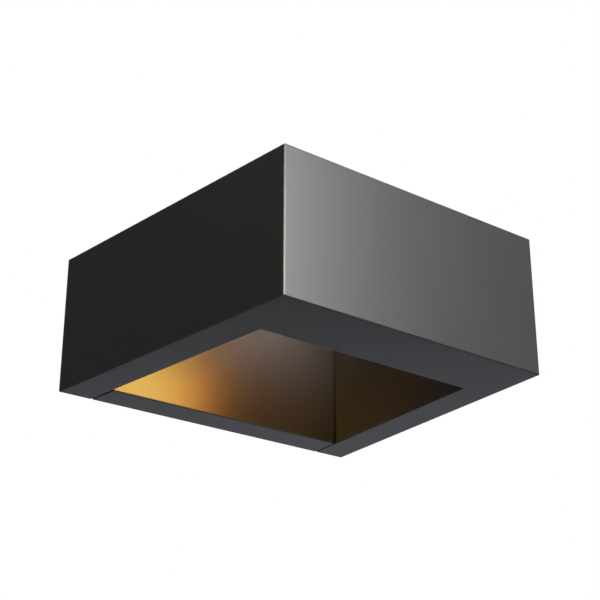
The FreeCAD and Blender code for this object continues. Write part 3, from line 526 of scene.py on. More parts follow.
@dataclass(frozen=True)
class Moulding(Finish):
    """Injection-moulded plastic or rubber with a fine eroded tool texture.

    The texture scatters light evenly, and flow in the mould leaves faint clouds of tone.
    """

    label: str
    base: str
    cloud: str
    roughness: float
    texture_mm: float = 0.5
    depth_mm: float = 0.01
    cloud_mm: float = 8.0
    subsurface: float = 0.0
    roughness_swing: float = 0.05

    def dress(self, tree: bpy.types.NodeTree, place: bpy.types.NodeSocket,
              shader: bpy.types.Node) -> None:
        """Clouded colour over the tool's texture.

        Args:
            tree: The material's tree.
            place: Object coordinates.
            shader: The Principled shader.
        """
        cloud = spread(tree, noise(tree, place, self.cloud_mm), 0, 1)
        tree.links.new(blended(tree, cloud, self.base, self.cloud), shader.inputs["Base Color"])
        worn = noise(tree, place, self.texture_mm)
        tree.links.new(spread(tree, worn, self.roughness - self.roughness_swing,
                              self.roughness + self.roughness_swing),
                       shader.inputs["Roughness"])
        shader.inputs["Subsurface Weight"].default_value = self.subsurface
        shader.inputs["Subsurface Scale"].default_value = MM
        relief(tree, shader, worn, self.depth_mm)


@dataclass(frozen=True)
class Metal(Finish):
    """Bare or plated metal with tool or rolling marks drawn out along one axis.

    The marks stretch highlights across themselves, and handling leaves cloudier patches.
    """

    label: str
    base: str
    tarnish: str
    roughness_low: float
    roughness_high: float
    mark_mm: float
    stretch: tuple[float, float, float]
    depth_mm: float = 0.004
    patch_mm: float = 12.0

    def dress(self, tree: bpy.types.NodeTree, place: bpy.types.NodeSocket,
              shader: bpy.types.Node) -> None:
        """Drawn-out marks, patches of duller metal and a shallow relief.

        Args:
            tree: The material's tree.
            place: Object coordinates.
            shader: The Principled shader.
        """
        shader.inputs["Metallic"].default_value = 1.0
        marks = noise(tree, place, self.mark_mm, self.stretch)
        patch = spread(tree, noise(tree, place, self.patch_mm), 0, 1)
        tree.links.new(blended(tree, patch, self.base, self.tarnish),
                       shader.inputs["Base Color"])
        tree.links.new(spread(tree, marks, self.roughness_low, self.roughness_high),
                       shader.inputs["Roughness"])
        relief(tree, shader, marks, self.depth_mm)


@dataclass(frozen=True)
class FoamSheet(Finish):
    """Die-cut closed-cell EPDM foam with a matt skin.

    Its cells are drawn 0.8 mm wide, larger than real ones, so that they show.
    """

    label: str = "foam_sheet_epdm"
    wall: str = "#2a2b2d"
    # Darker colour in the middle of each cell: painted shade.
    painted_pit_shade: str = "#161617"
    cell_mm: float = 0.8
    cell_reach: tuple[float, float] = (0.1, 0.6)
    depth_mm: float = 0.12
    roughness: float = 0.86

    def dress(self, tree: bpy.types.NodeTree, place: bpy.types.NodeSocket,
              shader: bpy.types.Node) -> None:
        """Cells as a Voronoi pattern, lower in their middles, which are darkened with painted shade.

        Args:
            tree: The material's tree.
            place: Object coordinates.
            shader: The Principled shader.
        """
        cells = add_node(tree, "ShaderNodeTexVoronoi", {"Scale": per_metre(self.cell_mm)},
                         {"Vector": place}).outputs["Distance"]
        # Share of the painted shade, highest in the middle of each cell.
        pit_shade_share = spread(tree, cells, 1, 0, *self.cell_reach)
        tree.links.new(blended(tree, pit_shade_share, self.wall, self.painted_pit_shade), shader.inputs["Base Color"])
        shader.inputs["Roughness"].default_value = self.roughness
        relief(tree, shader, cells, self.depth_mm)


@dataclass(frozen=True)
class LitPane(Finish):
    """Acid-etched glass over lit LEDs.

    The etched face would scatter the LEDs' light. The pane's own emission paints that light on as a
    soft warm pool over each LED, which fades towards the pane's edges.
    """

    columns: int
    rows: int
    pitch_x_mm: float
    pitch_z_mm: float
    label: str = "glass_etched_lit"
    tint: str = "#fff4dc"
    glow: str = "#ffc46e"
    roughness: float = 0.55
    frost_mm: float = 0.5
    frost_depth_mm: float = 0.03
    between: float = 0.9
    over_led: float = 2.6

    def pool(self, tree: bpy.types.NodeTree, place: bpy.types.NodeSocket, axis: str,
             middle: float, pitch_mm: float, count: int) -> bpy.types.NodeSocket:
        """Soft wave with a crest over each row or column of LEDs.

        Args:
            tree: The material's tree.
            place: Object coordinates.
            axis: Name of the axis.
            middle: Middle of the pattern, in metres.
            pitch_mm: Distance between crests.
            count: Number of crests.
        Returns:
            A value from 0 to 1.
        """
        part = add_node(tree, "ShaderNodeSeparateXYZ", links={"Vector": place}).outputs[axis]
        first = middle - (count - 1) / 2 * pitch_mm * MM
        shifted = add_node(tree, "ShaderNodeMath", {"operation": "SUBTRACT", 1: first}, {0: part})
        turned = add_node(tree, "ShaderNodeMath",
                          {"operation": "MULTIPLY", 1: 2 * math.pi * per_metre(pitch_mm)},
                          {0: shifted.outputs[0]})
        wave = add_node(tree, "ShaderNodeMath", {"operation": "COSINE"}, {0: turned.outputs[0]})
        return spread(tree, wave.outputs[0], 0, 1, -1, 1)

    def dress(self, tree: bpy.types.NodeTree, place: bpy.types.NodeSocket,
              shader: bpy.types.Node) -> None:
        """Frosted transmission and painted light: a glow in pools over the LEDs.

        Args:
            tree: The material's tree.
            place: Object coordinates.
            shader: The Principled shader.
        """
        low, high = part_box("window_pane")
        middle = (low + high) / 2
        across = self.pool(tree, place, "X", middle.x, self.pitch_x_mm, self.columns)
        upward = self.pool(tree, place, "Z", middle.z, self.pitch_z_mm, self.rows)
        both = add_node(tree, "ShaderNodeMath", {"operation": "MULTIPLY"}, {0: across, 1: upward})
        shader.inputs["Base Color"].default_value = linear(self.tint)
        shader.inputs["Transmission Weight"].default_value = 1.0
        shader.inputs["Roughness"].default_value = self.roughness
        shader.inputs["Emission Color"].default_value = linear(self.glow)
        # Painted light: the pane glows with its own emission in pools over the LEDs.
        tree.links.new(spread(tree, both.outputs[0], self.between, self.over_led, 0, 1),
                       shader.inputs["Emission Strength"])
        relief(tree, shader, noise(tree, place, self.frost_mm), self.frost_depth_mm)


@dataclass(frozen=True)
class Phosphor(Finish):
    """Warm phosphor in silicone over a blue die: grainy and lit from within."""

    label: str = "led_phosphor_lit"
    base: str = "#f2c14e"
    glow: str = "#ffb95c"
    grain_mm: float = 0.3
    strength_low: float = 2.5
    strength_high: float = 4.0
    roughness: float = 0.18

    def dress(self, tree: bpy.types.NodeTree, place: bpy.types.NodeSocket,
              shader: bpy.types.Node) -> None:
        """Grainy glow under a glossy skin.

        Args:
            tree: The material's tree.
            place: Object coordinates.
            shader: The Principled shader.
        """
        grain = noise(tree, place, self.grain_mm)
        shader.inputs["Base Color"].default_value = linear(self.base)
        shader.inputs["Roughness"].default_value = self.roughness
        shader.inputs["Emission Color"].default_value = linear(self.glow)
        tree.links.new(spread(tree, grain, self.strength_low, self.strength_high),
                       shader.inputs["Emission Strength"])


@dataclass(frozen=True)
class SolderMask(Finish):
    """White solder mask over copper tracks on an aluminium-cored board.

    The gaps are drawn a little proud of the tracks, so the tracks' edges catch the light.
    """

    label: str = "solder_mask_white"
    mask: str = "#eceeea"
    over_copper: str = "#dfe2dc"
    track_pitch_mm: float = 12.0
    track_row_mm: float = 7.0
    gap_mm: float = 0.5
    gap_softness: float = 0.3
    depth_mm: float = 0.06
    roughness: float = 0.32

    def dress(self, tree: bpy.types.NodeTree, place: bpy.types.NodeSocket,
              shader: bpy.types.Node) -> None:
        """Wide copper fields between narrow gaps, seen through the mask.

        Args:
            tree: The material's tree.
            place: Object coordinates.
            shader: The Principled shader.
        """
        flat = add_node(tree, "ShaderNodeMapping", {"Rotation": (math.radians(90), 0, 0)},
                        {"Vector": place})
        fields = add_node(tree, "ShaderNodeTexBrick",
                          {"Scale": 1.0, "Brick Width": self.track_pitch_mm * MM,
                           "Row Height": self.track_row_mm * MM, "Mortar Size": self.gap_mm * MM,
                           "Mortar Smooth": self.gap_softness},
                          {"Vector": flat.outputs["Vector"]}).outputs["Fac"]
        tree.links.new(blended(tree, fields, self.over_copper, self.mask),
                       shader.inputs["Base Color"])
        shader.inputs["Roughness"].default_value = self.roughness
        relief(tree, shader, fields, self.depth_mm)


class LeadColour(Enum):
    """Colours of insulation, as a base and a slightly faded tone."""

    BROWN = ("#5b3a22", "#664329")
    BLUE = ("#2c62a8", "#3069b0")
    GREEN = ("#4f9a3c", "#58a344")
    RED = ("#b52b25", "#bd342d")
    BLACK = ("#1c1c1d", "#232324")


def insulation(colour: LeadColour) -> Moulding:
    """Extruded PVC insulation: smooth, with a soft sheen and a faintly uneven tone.

    Args:
        colour: Colour of the insulation.
    Returns:
        The finish.
    """
    base, faded = colour.value
    return Moulding(f"pvc_insulation_{colour.name.lower()}", base, faded, 0.38, depth_mm=0.004,
                    cloud_mm=3.0)


# Silicone takes a matt bloom from its mould, and lighter dust settles in it.
silicone = Moulding("silicone_black_moulded", "#191a1b", "#202122", 0.62)
# Glass fibres near the surface make dark nylon slightly cloudy and half matt.
nylon = Moulding("nylon_glass_filled_black", "#1b1b1d", "#242426", 0.46, cloud_mm=5.0)
# Polyamide for terminals is milky, so light goes a little way in.
polyamide = Moulding("polyamide_natural_grey", "#c3c2ba", "#cbcac3", 0.42, subsurface=0.08)
# Polycarbonate filled with titanium white: very even and bright.
tray_white = Moulding("polycarbonate_white", "#eceae3", "#e4e2db", 0.45, subsurface=0.05)
# Flame-retardant polycarbonate of the driver's case, with a spark-eroded grain.
driver_grey = Moulding("polycarbonate_light_grey", "#c2c4c5", "#caccce", 0.52, texture_mm=0.7,
                       depth_mm=0.02)
# Ceramic-filled polymer of the LEDs' packages: dense, white and nearly matt.
led_white = Moulding("led_package_white", "#efece2", "#f5f2ea", 0.4, texture_mm=0.2)
# Cold-headed and passivated stainless steel: bright, with fine marks drawn out upwards.
stainless = Metal("stainless_passivated", "#bcbab5", "#aaa8a3", 0.22, 0.36, 0.25, (1, 1, 0.2))
# Zinc-plated and blue-passivated sheet steel: rolling marks run along the sheet.
zinc = Metal("zinc_plated_steel", "#b3b9be", "#9fa4a6", 0.32, 0.46, 0.5, (0.08, 1, 1),
             patch_mm=18.0)
# Extruded aluminium: die lines run up the fins.
aluminium = Metal("aluminium_extruded", "#c6c8ca", "#b8babc", 0.28, 0.42, 0.4, (1, 1, 0.05))
# Machined brass of the contacts, lightly tarnished.
brass = Metal("brass_machined", "#cda75f", "#b8934f", 0.24, 0.38, 0.2, (1, 0.2, 1))


# ---- shared making -------------------------------------------------------------------------

def dress_nodes(finish: Finish, *nodes: str) -> None:
    """Give CAD nodes a finish in their material slots.

    Args:
        finish: The finish.
        nodes: Names of the nodes.
    """
    for node in nodes:
        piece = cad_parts[node]
        if not piece.material_slots:
            piece.data.materials.append(None)
        for holder in piece.material_slots:
            holder.material = finish.material()
        log.info("%s wears %s", node, finish.label)


def stand_in(piece: bpy.types.Object, body: str, slot: str, *nodes: str) -> None:
    """Let a modelled piece ride on a body in place of CAD nodes.

    Args:
        piece: The piece.
        body: Body that carries it.
        slot: Not used.
        nodes: CAD nodes that it replaces.
    """
    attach(piece, body)
    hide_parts(*nodes)
    log.info("%s rides on %s with %d faces", piece.name, body, len(piece.data.polygons))


class Heading(Enum):
    """Way that a screw points, as the turn that brings +Z onto it."""

    DOWN = (math.pi, 0.0, 0.0)
    TO_WALL = (-math.pi / 2, 0.0, 0.0)
    TO_FRONT = (math.pi / 2, 0.0, 0.0)

    def direction(self) -> Vector:
        """Find the way that the shank points.

        Returns:
            Unit vector along the shank.
        """
        way = Vector((0, 0, 1))
        way.rotate(Euler(self.value))
        return way


@dataclass(frozen=True)
class ScrewSize:
    """Metric screw with a hexagon socket; sizes in millimetres."""

    radius: float
    head_radius: float
    head_height: float
    key: float
    pitch: float
    rim: float = 0.3
    socket_share: float = 0.6


M4 = ScrewSize(radius=2.0, head_radius=3.8, head_height=1.9, key=2.5, pitch=0.7)
M3 = ScrewSize(radius=1.5, head_radius=2.75, head_height=1.6, key=2.0, pitch=0.5)


@dataclass(frozen=True)
class Screws:
    """Screws of one CAD node, each with its socket, eased edges and a cut thread."""

    node: str
    body: str
    size: ScrewSize
    heading: Heading
    countersunk: bool = False
    segments: int = 24
    rows_per_turn: int = 5
    edge_mm: float = 0.15
    thread_depth_share: float = 0.5
    tip_mm: float = 0.4

    def socket(self, grow: float) -> Callable[[float], float]:
        """Radius of the hexagon socket by angle, grown by a distance in millimetres."""
        sixth = math.pi / 3
        return lambda turn: (self.size.key / 2 + grow) / math.cos(turn % sixth - sixth / 2)

    def thread(self, height: float, start: float) -> Callable[[float], float]:
        """Radius of the thread by angle at one height.

        Args:
            height: Height of the row.
            start: Height at which the thread starts.
        Returns:
            The radius as a function of the angle.
        """
        depth = self.size.pitch * self.thread_depth_share
        turns = (height - start) / self.size.pitch
        return lambda turn: self.size.radius - depth * (
            0.5 - 0.5 * math.cos(2 * math.pi * turns - turn))

    def head_rows(self) -> list[tuple[Radius, float]]:
        """Profile from the bottom of the socket to where the shank starts.

        Returns:
            Rows of radius and height in millimetres.
        """
        size = self.size
        edge = self.edge_mm
        if self.countersunk:
            socket_depth = (size.head_radius - size.radius) * size.socket_share
            under = [(size.head_radius, size.rim),
                     (size.radius, size.rim + size.head_radius - size.radius)]
        else:
            socket_depth = size.head_height * size.socket_share
            under = [(size.head_radius, size.head_height - edge / 2),
                     (size.head_radius - edge / 2, size.head_height),
                     (size.radius, size.head_height)]
        crown = [(self.socket(0), socket_depth), (self.socket(0), edge / 2),
                 (self.socket(edge / 2), 0.0), (size.head_radius - edge, 0.0),
                 (size.head_radius - EASE_SHARE * edge, EASE_SHARE * edge),
                 (size.head_radius, edge)]
        return crown + under

    def template(self, length_mm: float) -> bpy.types.Object:
        """Screw with its crown on the origin and its shank along +Z.

        Args:
            length_mm: Whole length, head included.
        Returns:
            The template object.
        """
        rows = self.head_rows()
        start = rows[-1][1] + self.edge_mm
        end = length_mm - self.tip_mm
        count = max(1, round((end - start) / self.size.pitch * self.rows_per_turn))
        heights = [start + (end - start) * step / count for step in range(count + 1)]
        rows += [(self.thread(height, start), height) for height in heights]
        rows.append((self.size.radius - self.tip_mm, length_mm))
        return object_from(f"{self.node}_template",
                           revolved(f"{self.node}_template", rows, self.segments))

    def build(self, slot: str) -> bpy.types.Object:
        """Set a screw where each solid of the node is.

        Args:
            slot: Handed on to stand_in, which does not use it.
        Returns:
            The piece.
        """
        way = self.heading.direction()
        boxes = solids_of(self.node)
        low, high = boxes[0]
        length_mm = abs((high - low).dot(way)) / MM
        crowns = [(low + high) / 2 - way * abs((high - low).dot(way)) / 2 for low, high in boxes]
        spots = bpy.data.meshes.new(f"{self.node}_spots")
        spots.from_pydata(crowns, [], [])
        template = self.template(length_mm)
        piece = grown(f"{self.node}_detailed", spots, copies_tree(),
                      {"Template": template, "Turn": self.heading.value,
                       "Finish": stainless.material()})
        bpy.data.objects.remove(template)
        stand_in(piece, self.body, slot, self.node)
        return piece


# ---- sub-assemblies ------------------------------------------------------------------------

@dataclass
class Casing:
    """Cast casing, its cover and what closes them."""

    body: str = "casing"

    def build(self) -> None:
        """Dress the casting and make the cover's screws."""
        # The cover and the walls of the mouth are duller than the satin outside.
        dress_nodes(PowderCoat("powder_coat_graphite_cover", roughness_low=0.44,
                               roughness_high=0.49), "top_cover")
        dress_nodes(PowderCoat("powder_coat_graphite_casing", mouth_roughness_low=0.42,
                               mouth_roughness_high=0.46), "housing_shell")
        dress_nodes(silicone, "cover_gasket", "vent_seal")
        dress_nodes(nylon, "vent_plug")
        Screws("cover_screws", self.body, M4, Heading.DOWN, countersunk=True).build("stainless")


@dataclass
class LightEngine:
    """Pane, tray, board, LEDs and heat sink, with the light that they throw into the mouth."""

    body: str = "casing"
    columns: int = 8
    rows: int = 2
    pitch_x_mm: float = 12.0
    pitch_z_mm: float = 14.0
    package_mm: float = 3.5
    package_height_mm: float = 0.8
    package_edge_mm: float = 0.25
    package_edge_segments: int = 3
    lens_radius_mm: float = 1.5
    lens_segments: int = 20
    lens_rows: int = 6
    lamp_gap_mm: float = 4.5
    lamp_rise_mm: float = 7.0
    lamp_power: float = 0.24
    lamp_middle: str = "#ffd268"
    lamp_end: str = "#ff7a20"
    end_falloff: int = 4
    lamp_spread: float = 110.0
    bounce_power: float = 0.8
    bounce_spread: float = 110.0
    bounce_colour: str = "#ffeedd"
    bounce_size_mm: tuple[float, float] = (80.0, 12.0)
    bounce_place_mm: tuple[float, float, float] = (20.0, -81.0, 30.0)

    def package(self) -> bpy.types.Object:
        """Square package with eased corners, its foot on the origin and its face to +Y.

        Returns:
            The template object.
        """
        shape = bmesh.new()
        bmesh.ops.create_cube(shape, size=1)
        bmesh.ops.scale(shape, verts=shape.verts,
                        vec=Vector((self.package_mm, self.package_height_mm,
                                    self.package_mm)) * MM)
        bmesh.ops.translate(shape, verts=shape.verts,
                            vec=Vector((0, self.package_height_mm / 2 * MM, 0)))
        along = [edge for edge in shape.edges
                 if abs((edge.verts[0].co - edge.verts[1].co).y) > MERGE_DISTANCE]
        bmesh.ops.bevel(shape, geom=along, offset=self.package_edge_mm * MM,
                        segments=self.package_edge_segments, affect="EDGES")
        return object_from("led_package_template", mesh_from("led_package_template", shape))

    def lens(self) -> bpy.types.Object:
        """Round lens over the phosphor, on top of the package and pointing to +Y.

        Returns:
            The template object.
        """
        rows = [(self.lens_radius_mm * math.cos(lift), self.lens_radius_mm * math.sin(lift))
                for lift in [math.pi / 2 * step / self.lens_rows for step in range(self.lens_rows)]]
        mesh = revolved("led_lens_template", rows, self.lens_segments)
        template = object_from("led_lens_template", mesh)
        for vertex in mesh.vertices:
            x, y, z = vertex.co
            vertex.co = (x, z + self.package_height_mm * MM, -y)
        return template

    def led_field(self, name: str, template: bpy.types.Object, finish: Finish) -> None:
        """Repeat a template over the board's columns and rows.

        Args:
            name: Name of the piece.
            template: Template object, which is deleted afterwards.
            finish: Finish of the piece.
        """
        low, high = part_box("led_packages")
        middle = Vector(((low.x + high.x) / 2, low.y, (low.z + high.z) / 2))
        seed = bpy.data.meshes.new(f"{name}_seed")
        piece = grown(name, seed, grid_tree(),
                      {"Template": template, "Middle": middle, "Columns": self.columns,
                       "Rows": self.rows, "Finish": finish.material(),
                       "Width": (self.columns - 1) * self.pitch_x_mm * MM,
                       "Height": (self.rows - 1) * self.pitch_z_mm * MM})
        bpy.data.objects.remove(template)
        stand_in(piece, self.body, "led_phosphor", "led_packages")

    def lamp(self, name: str, size: tuple[float, float], power: float, colour: Vector,
             beam: float, place: Vector) -> bpy.types.Object:
        """Put a soft lamp that shines towards the wall, and that the camera doesn't see.

        Args:
            name: Name of the lamp.
            size: Its two sides, in metres.
            power: Its power in watts.
            colour: Linear colour.
            beam: Width of its beam in degrees.
            place: Where it is.
        Returns:
            The lamp, which rides on the casing.
        """
        data = bpy.data.lights.new(name, "AREA")
        data.shape = "RECTANGLE"
        data.size, data.size_y = size
        data.energy = power
        data.color = colour
        data.spread = math.radians(beam)
        holder = bpy.data.objects.new(name, data)
        bpy.context.scene.collection.objects.link(holder)
        holder.location = place
        holder.rotation_euler = (math.radians(90), 0, 0)
        holder.visible_camera = False
        holder.visible_transmission = False
        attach(holder, self.body)
        return holder

    def throw_light(self) -> None:
        """Light the mouth: a lamp per column of LEDs, and a soft fill under the ceiling."""
        low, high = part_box("window_pane")
        width = (high.x - low.x) / self.columns
        front = high.y + self.lamp_gap_mm * MM
        middle, end = (Vector(linear(code)[:3]) for code in (self.lamp_middle, self.lamp_end))
        for column in range(self.columns):
            offset = column - (self.columns - 1) / 2
            share = (2 * offset / (self.columns - 1)) ** self.end_falloff
            self.lamp(f"column_light_{column + 1}", (width, high.z - low.z),
                      self.lamp_power / self.columns, middle.lerp(end, share), self.lamp_spread,
                      Vector(((low.x + high.x) / 2 + offset * width, front,
                              (low.z + high.z) / 2 + self.lamp_rise_mm * MM)))
        bounce = self.lamp("ceiling_bounce", tuple(side * MM for side in self.bounce_size_mm),
                           self.bounce_power, Vector(linear(self.bounce_colour)[:3]),
                           self.bounce_spread, Vector(self.bounce_place_mm) * MM)
        bounce.visible_glossy = False

    def build(self) -> None:
        """Dress the stack behind the window and make the LEDs, the screws and the light."""
        dress_nodes(LitPane(self.columns, self.rows, self.pitch_x_mm, self.pitch_z_mm),
                    "window_pane")
        dress_nodes(silicone, "window_gasket")
        dress_nodes(tray_white, "light_tray")
        dress_nodes(SolderMask(), "led_board")
        dress_nodes(aluminium, "heat_sink")
        self.led_field("led_bodies", self.package(), led_white)
        self.led_field("led_lenses", self.lens(), Phosphor())
        Screws("heat_sink_screws", self.body, M4, Heading.TO_WALL).build("stainless")
        self.throw_light()


@dataclass
class DriverBay:
    """Driver in the left arm, the plug behind it and the casing's leads."""

    body: str = "casing"

    def build(self) -> None:
        """Dress the driver, plug and leads, and make their screws."""
        dress_nodes(driver_grey, "driver")
        dress_nodes(nylon, "plug_body")
        dress_nodes(silicone, "plug_seal")
        dress_nodes(brass, "plug_contacts", "casing_earth_lug")
        dress_nodes(insulation(LeadColour.BROWN), "casing_live_lead")
        dress_nodes(insulation(LeadColour.BLUE), "casing_neutral_lead")
        dress_nodes(insulation(LeadColour.GREEN), "casing_earth_lead")
        dress_nodes(insulation(LeadColour.RED), "board_plus_lead")
        dress_nodes(insulation(LeadColour.BLACK), "board_minus_lead")
        Screws("driver_screws", self.body, M3, Heading.DOWN).build("stainless")
        Screws("plug_screws", self.body, M3, Heading.TO_FRONT).build("stainless")
        Screws("casing_earth_screw", self.body, M4, Heading.DOWN).build("stainless")


@dataclass
class WallSide:
    """Everything that stays on the wall when the casing is pulled off."""

    body: str = "wall_side"
    grommet_segments: int = 48
    grommet_edge_mm: float = 0.5
    grommet_lip_mm: float = 0.35
    grommet_bore_mm: float = 4.5
    grommet_neck_mm: float = 7.0
    grommet_flange_mm: float = 3.5
    grommet_groove_mm: float = 2.0
    grommet_front_ease_mm: float = 0.3
    grommet_rear_ease_mm: float = 0.2
    grommet_ribs: int = 5
    rows_per_rib: int = 4

    def grommet(self) -> None:
        """Moulded grommet: two rounded flanges, a groove for the plate and a ribbed bore."""
        low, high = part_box("cable_grommet")
        flange = (high.x - low.x) / 2 / MM
        front = low.y / MM
        edge = self.grommet_edge_mm
        bend = EASE_SHARE * edge
        front_ease = self.grommet_front_ease_mm
        rear_ease = self.grommet_rear_ease_mm
        lip = self.grommet_bore_mm + self.grommet_lip_mm
        neck = self.grommet_neck_mm
        plate_front = front + self.grommet_flange_mm
        plate_rear = plate_front + self.grommet_groove_mm
        rows = [(lip, front), (flange - edge, front), (flange - bend, front + bend),
                (flange, front + edge), (flange, plate_front - front_ease),
                (flange - front_ease, plate_front), (neck, plate_front), (neck, plate_rear),
                (flange - rear_ease, plate_rear), (flange, plate_rear + rear_ease),
                (flange, -rear_ease), (flange - rear_ease, 0.0), (lip, 0.0)]
        # The bore's rows run forward to the front face, where the first row closes the ring.
        steps = self.rows_per_rib * self.grommet_ribs
        for step in range(steps):
            turn = 2 * math.pi * step / self.rows_per_rib
            swell = self.grommet_lip_mm * (0.5 + 0.5 * math.cos(turn))
            rows.append((self.grommet_bore_mm + swell, front * step / steps))
        mesh = revolved("cable_grommet_moulded", rows, self.grommet_segments, closed_ring=True)
        for vertex in mesh.vertices:
            x, y, z = vertex.co
            vertex.co = (x, z, -y)
        mesh.materials.append(silicone.material())
        stand_in(object_from("cable_grommet_moulded", mesh), self.body, "seal_rubber",
                 "cable_grommet")

    def build(self) -> None:
        """Dress the wall side and make its screws and grommet."""
        dress_nodes(PowderCoat(), "wall_box")
        dress_nodes(zinc, "wall_plate")
        dress_nodes(FoamSheet(), "wall_gasket")
        dress_nodes(stainless, "locating_pins")
        dress_nodes(nylon, "socket_body")
        dress_nodes(brass, "socket_contacts", "terminal_screws", "plate_earth_lug")
        dress_nodes(polyamide, "terminal_block")
        dress_nodes(insulation(LeadColour.BROWN), "wall_live_lead")
        dress_nodes(insulation(LeadColour.BLUE), "wall_neutral_lead")
        dress_nodes(insulation(LeadColour.GREEN), "wall_earth_lead", "plate_earth_lead")
        Screws("box_screws", self.body, M4, Heading.DOWN, countersunk=True).build("stainless")
        Screws("locking_screws", self.body, M4, Heading.DOWN).build("stainless")
        Screws("socket_screws", self.body, M3, Heading.TO_WALL).build("stainless")
        Screws("terminal_block_screws", self.body, M3, Heading.TO_WALL).build("stainless")
        Screws("plate_earth_screw", self.body, M4, Heading.TO_WALL).build("stainless")
        self.grommet()


# ---- studio --------------------------------------------------------------------------------

def toward(azimuth: float, elevation: float) -> Vector:
    """Direction by two angles.

    Args:
        azimuth: Degrees from the front towards +X.
        elevation: Degrees above the horizon.
    Returns:
        Unit vector.
    """
    turn, lift = math.radians(azimuth), math.radians(elevation)
    return Vector((math.sin(turn) * math.cos(lift), -math.cos(turn) * math.cos(lift),
                   math.sin(lift)))


@dataclass(frozen=True)
class Panel:
    """Rectangular soft lamp aimed at the middle of the object."""

    name: str
    azimuth: float
    elevation: float
    distance: float
    width: float
    height: float
    power: float
    colour: str = "#ffffff"

    def place(self, target: Vector) -> None:
        """Put the lamp in the scene.

        Args:
            target: Point that it faces.
        """
        way = toward(self.azimuth, self.elevation)
        lamp = bpy.data.lights.new(self.name, "AREA")
        lamp.shape = "RECTANGLE"
        lamp.size = self.width
        lamp.size_y = self.height
        lamp.energy = self.power
        lamp.color = linear(self.colour)[:3]
        holder = bpy.data.objects.new(self.name, lamp)
        bpy.context.scene.collection.objects.link(holder)
        holder.location = target + way * self.distance
        holder.rotation_mode = "QUATERNION"
        holder.rotation_quaternion = way.to_track_quat("Z", "Y")
        holder.visible_camera = False


@dataclass(frozen=True)
class Card:
    """Square card beside or below the object that shows only in what gloss reflects."""

    name: str
    azimuth: float
    elevation: float
    distance: float
    side: float
    colour: str

    def place(self, target: Vector) -> None:
        """Put the card in the scene.

        Args:
            target: Point that it faces.
        """
        way = toward(self.azimuth, self.elevation)
        half = self.side / 2
        corners = [Vector((-half, -half, 0)), Vector((half, -half, 0)),
                   Vector((half, half, 0)), Vector((-half, half, 0))]
        turn = way.to_track_quat("Z", "Y")
        mesh = bpy.data.meshes.new(self.name)
        mesh.from_pydata([target + way * self.distance + turn @ corner for corner in corners],
                         [], [(3, 2, 1, 0)])
        mesh.materials.append(plain_board(self.name, self.colour))
        card = object_from(self.name, mesh)
        card.visible_camera = False
        card.visible_diffuse = False
        card.visible_transmission = False
        card.visible_shadow = False


def plain_board(name: str, colour: str) -> bpy.types.Material:
    """Matt board of one colour for the set.

    Args:
        name: Name of the material.
        colour: sRGB hex value.
    Returns:
        The material.
    """
    material = bpy.data.materials.new(name)
    material.use_nodes = True
    tree = material.node_tree
    tree.nodes.clear()
    shader = add_node(tree, "ShaderNodeBsdfPrincipled",
                      {"Base Color": linear(colour), "Roughness": BOARD_ROUGHNESS})
    add_node(tree, "ShaderNodeOutputMaterial", links={"Surface": shader.outputs["BSDF"]})
    return material


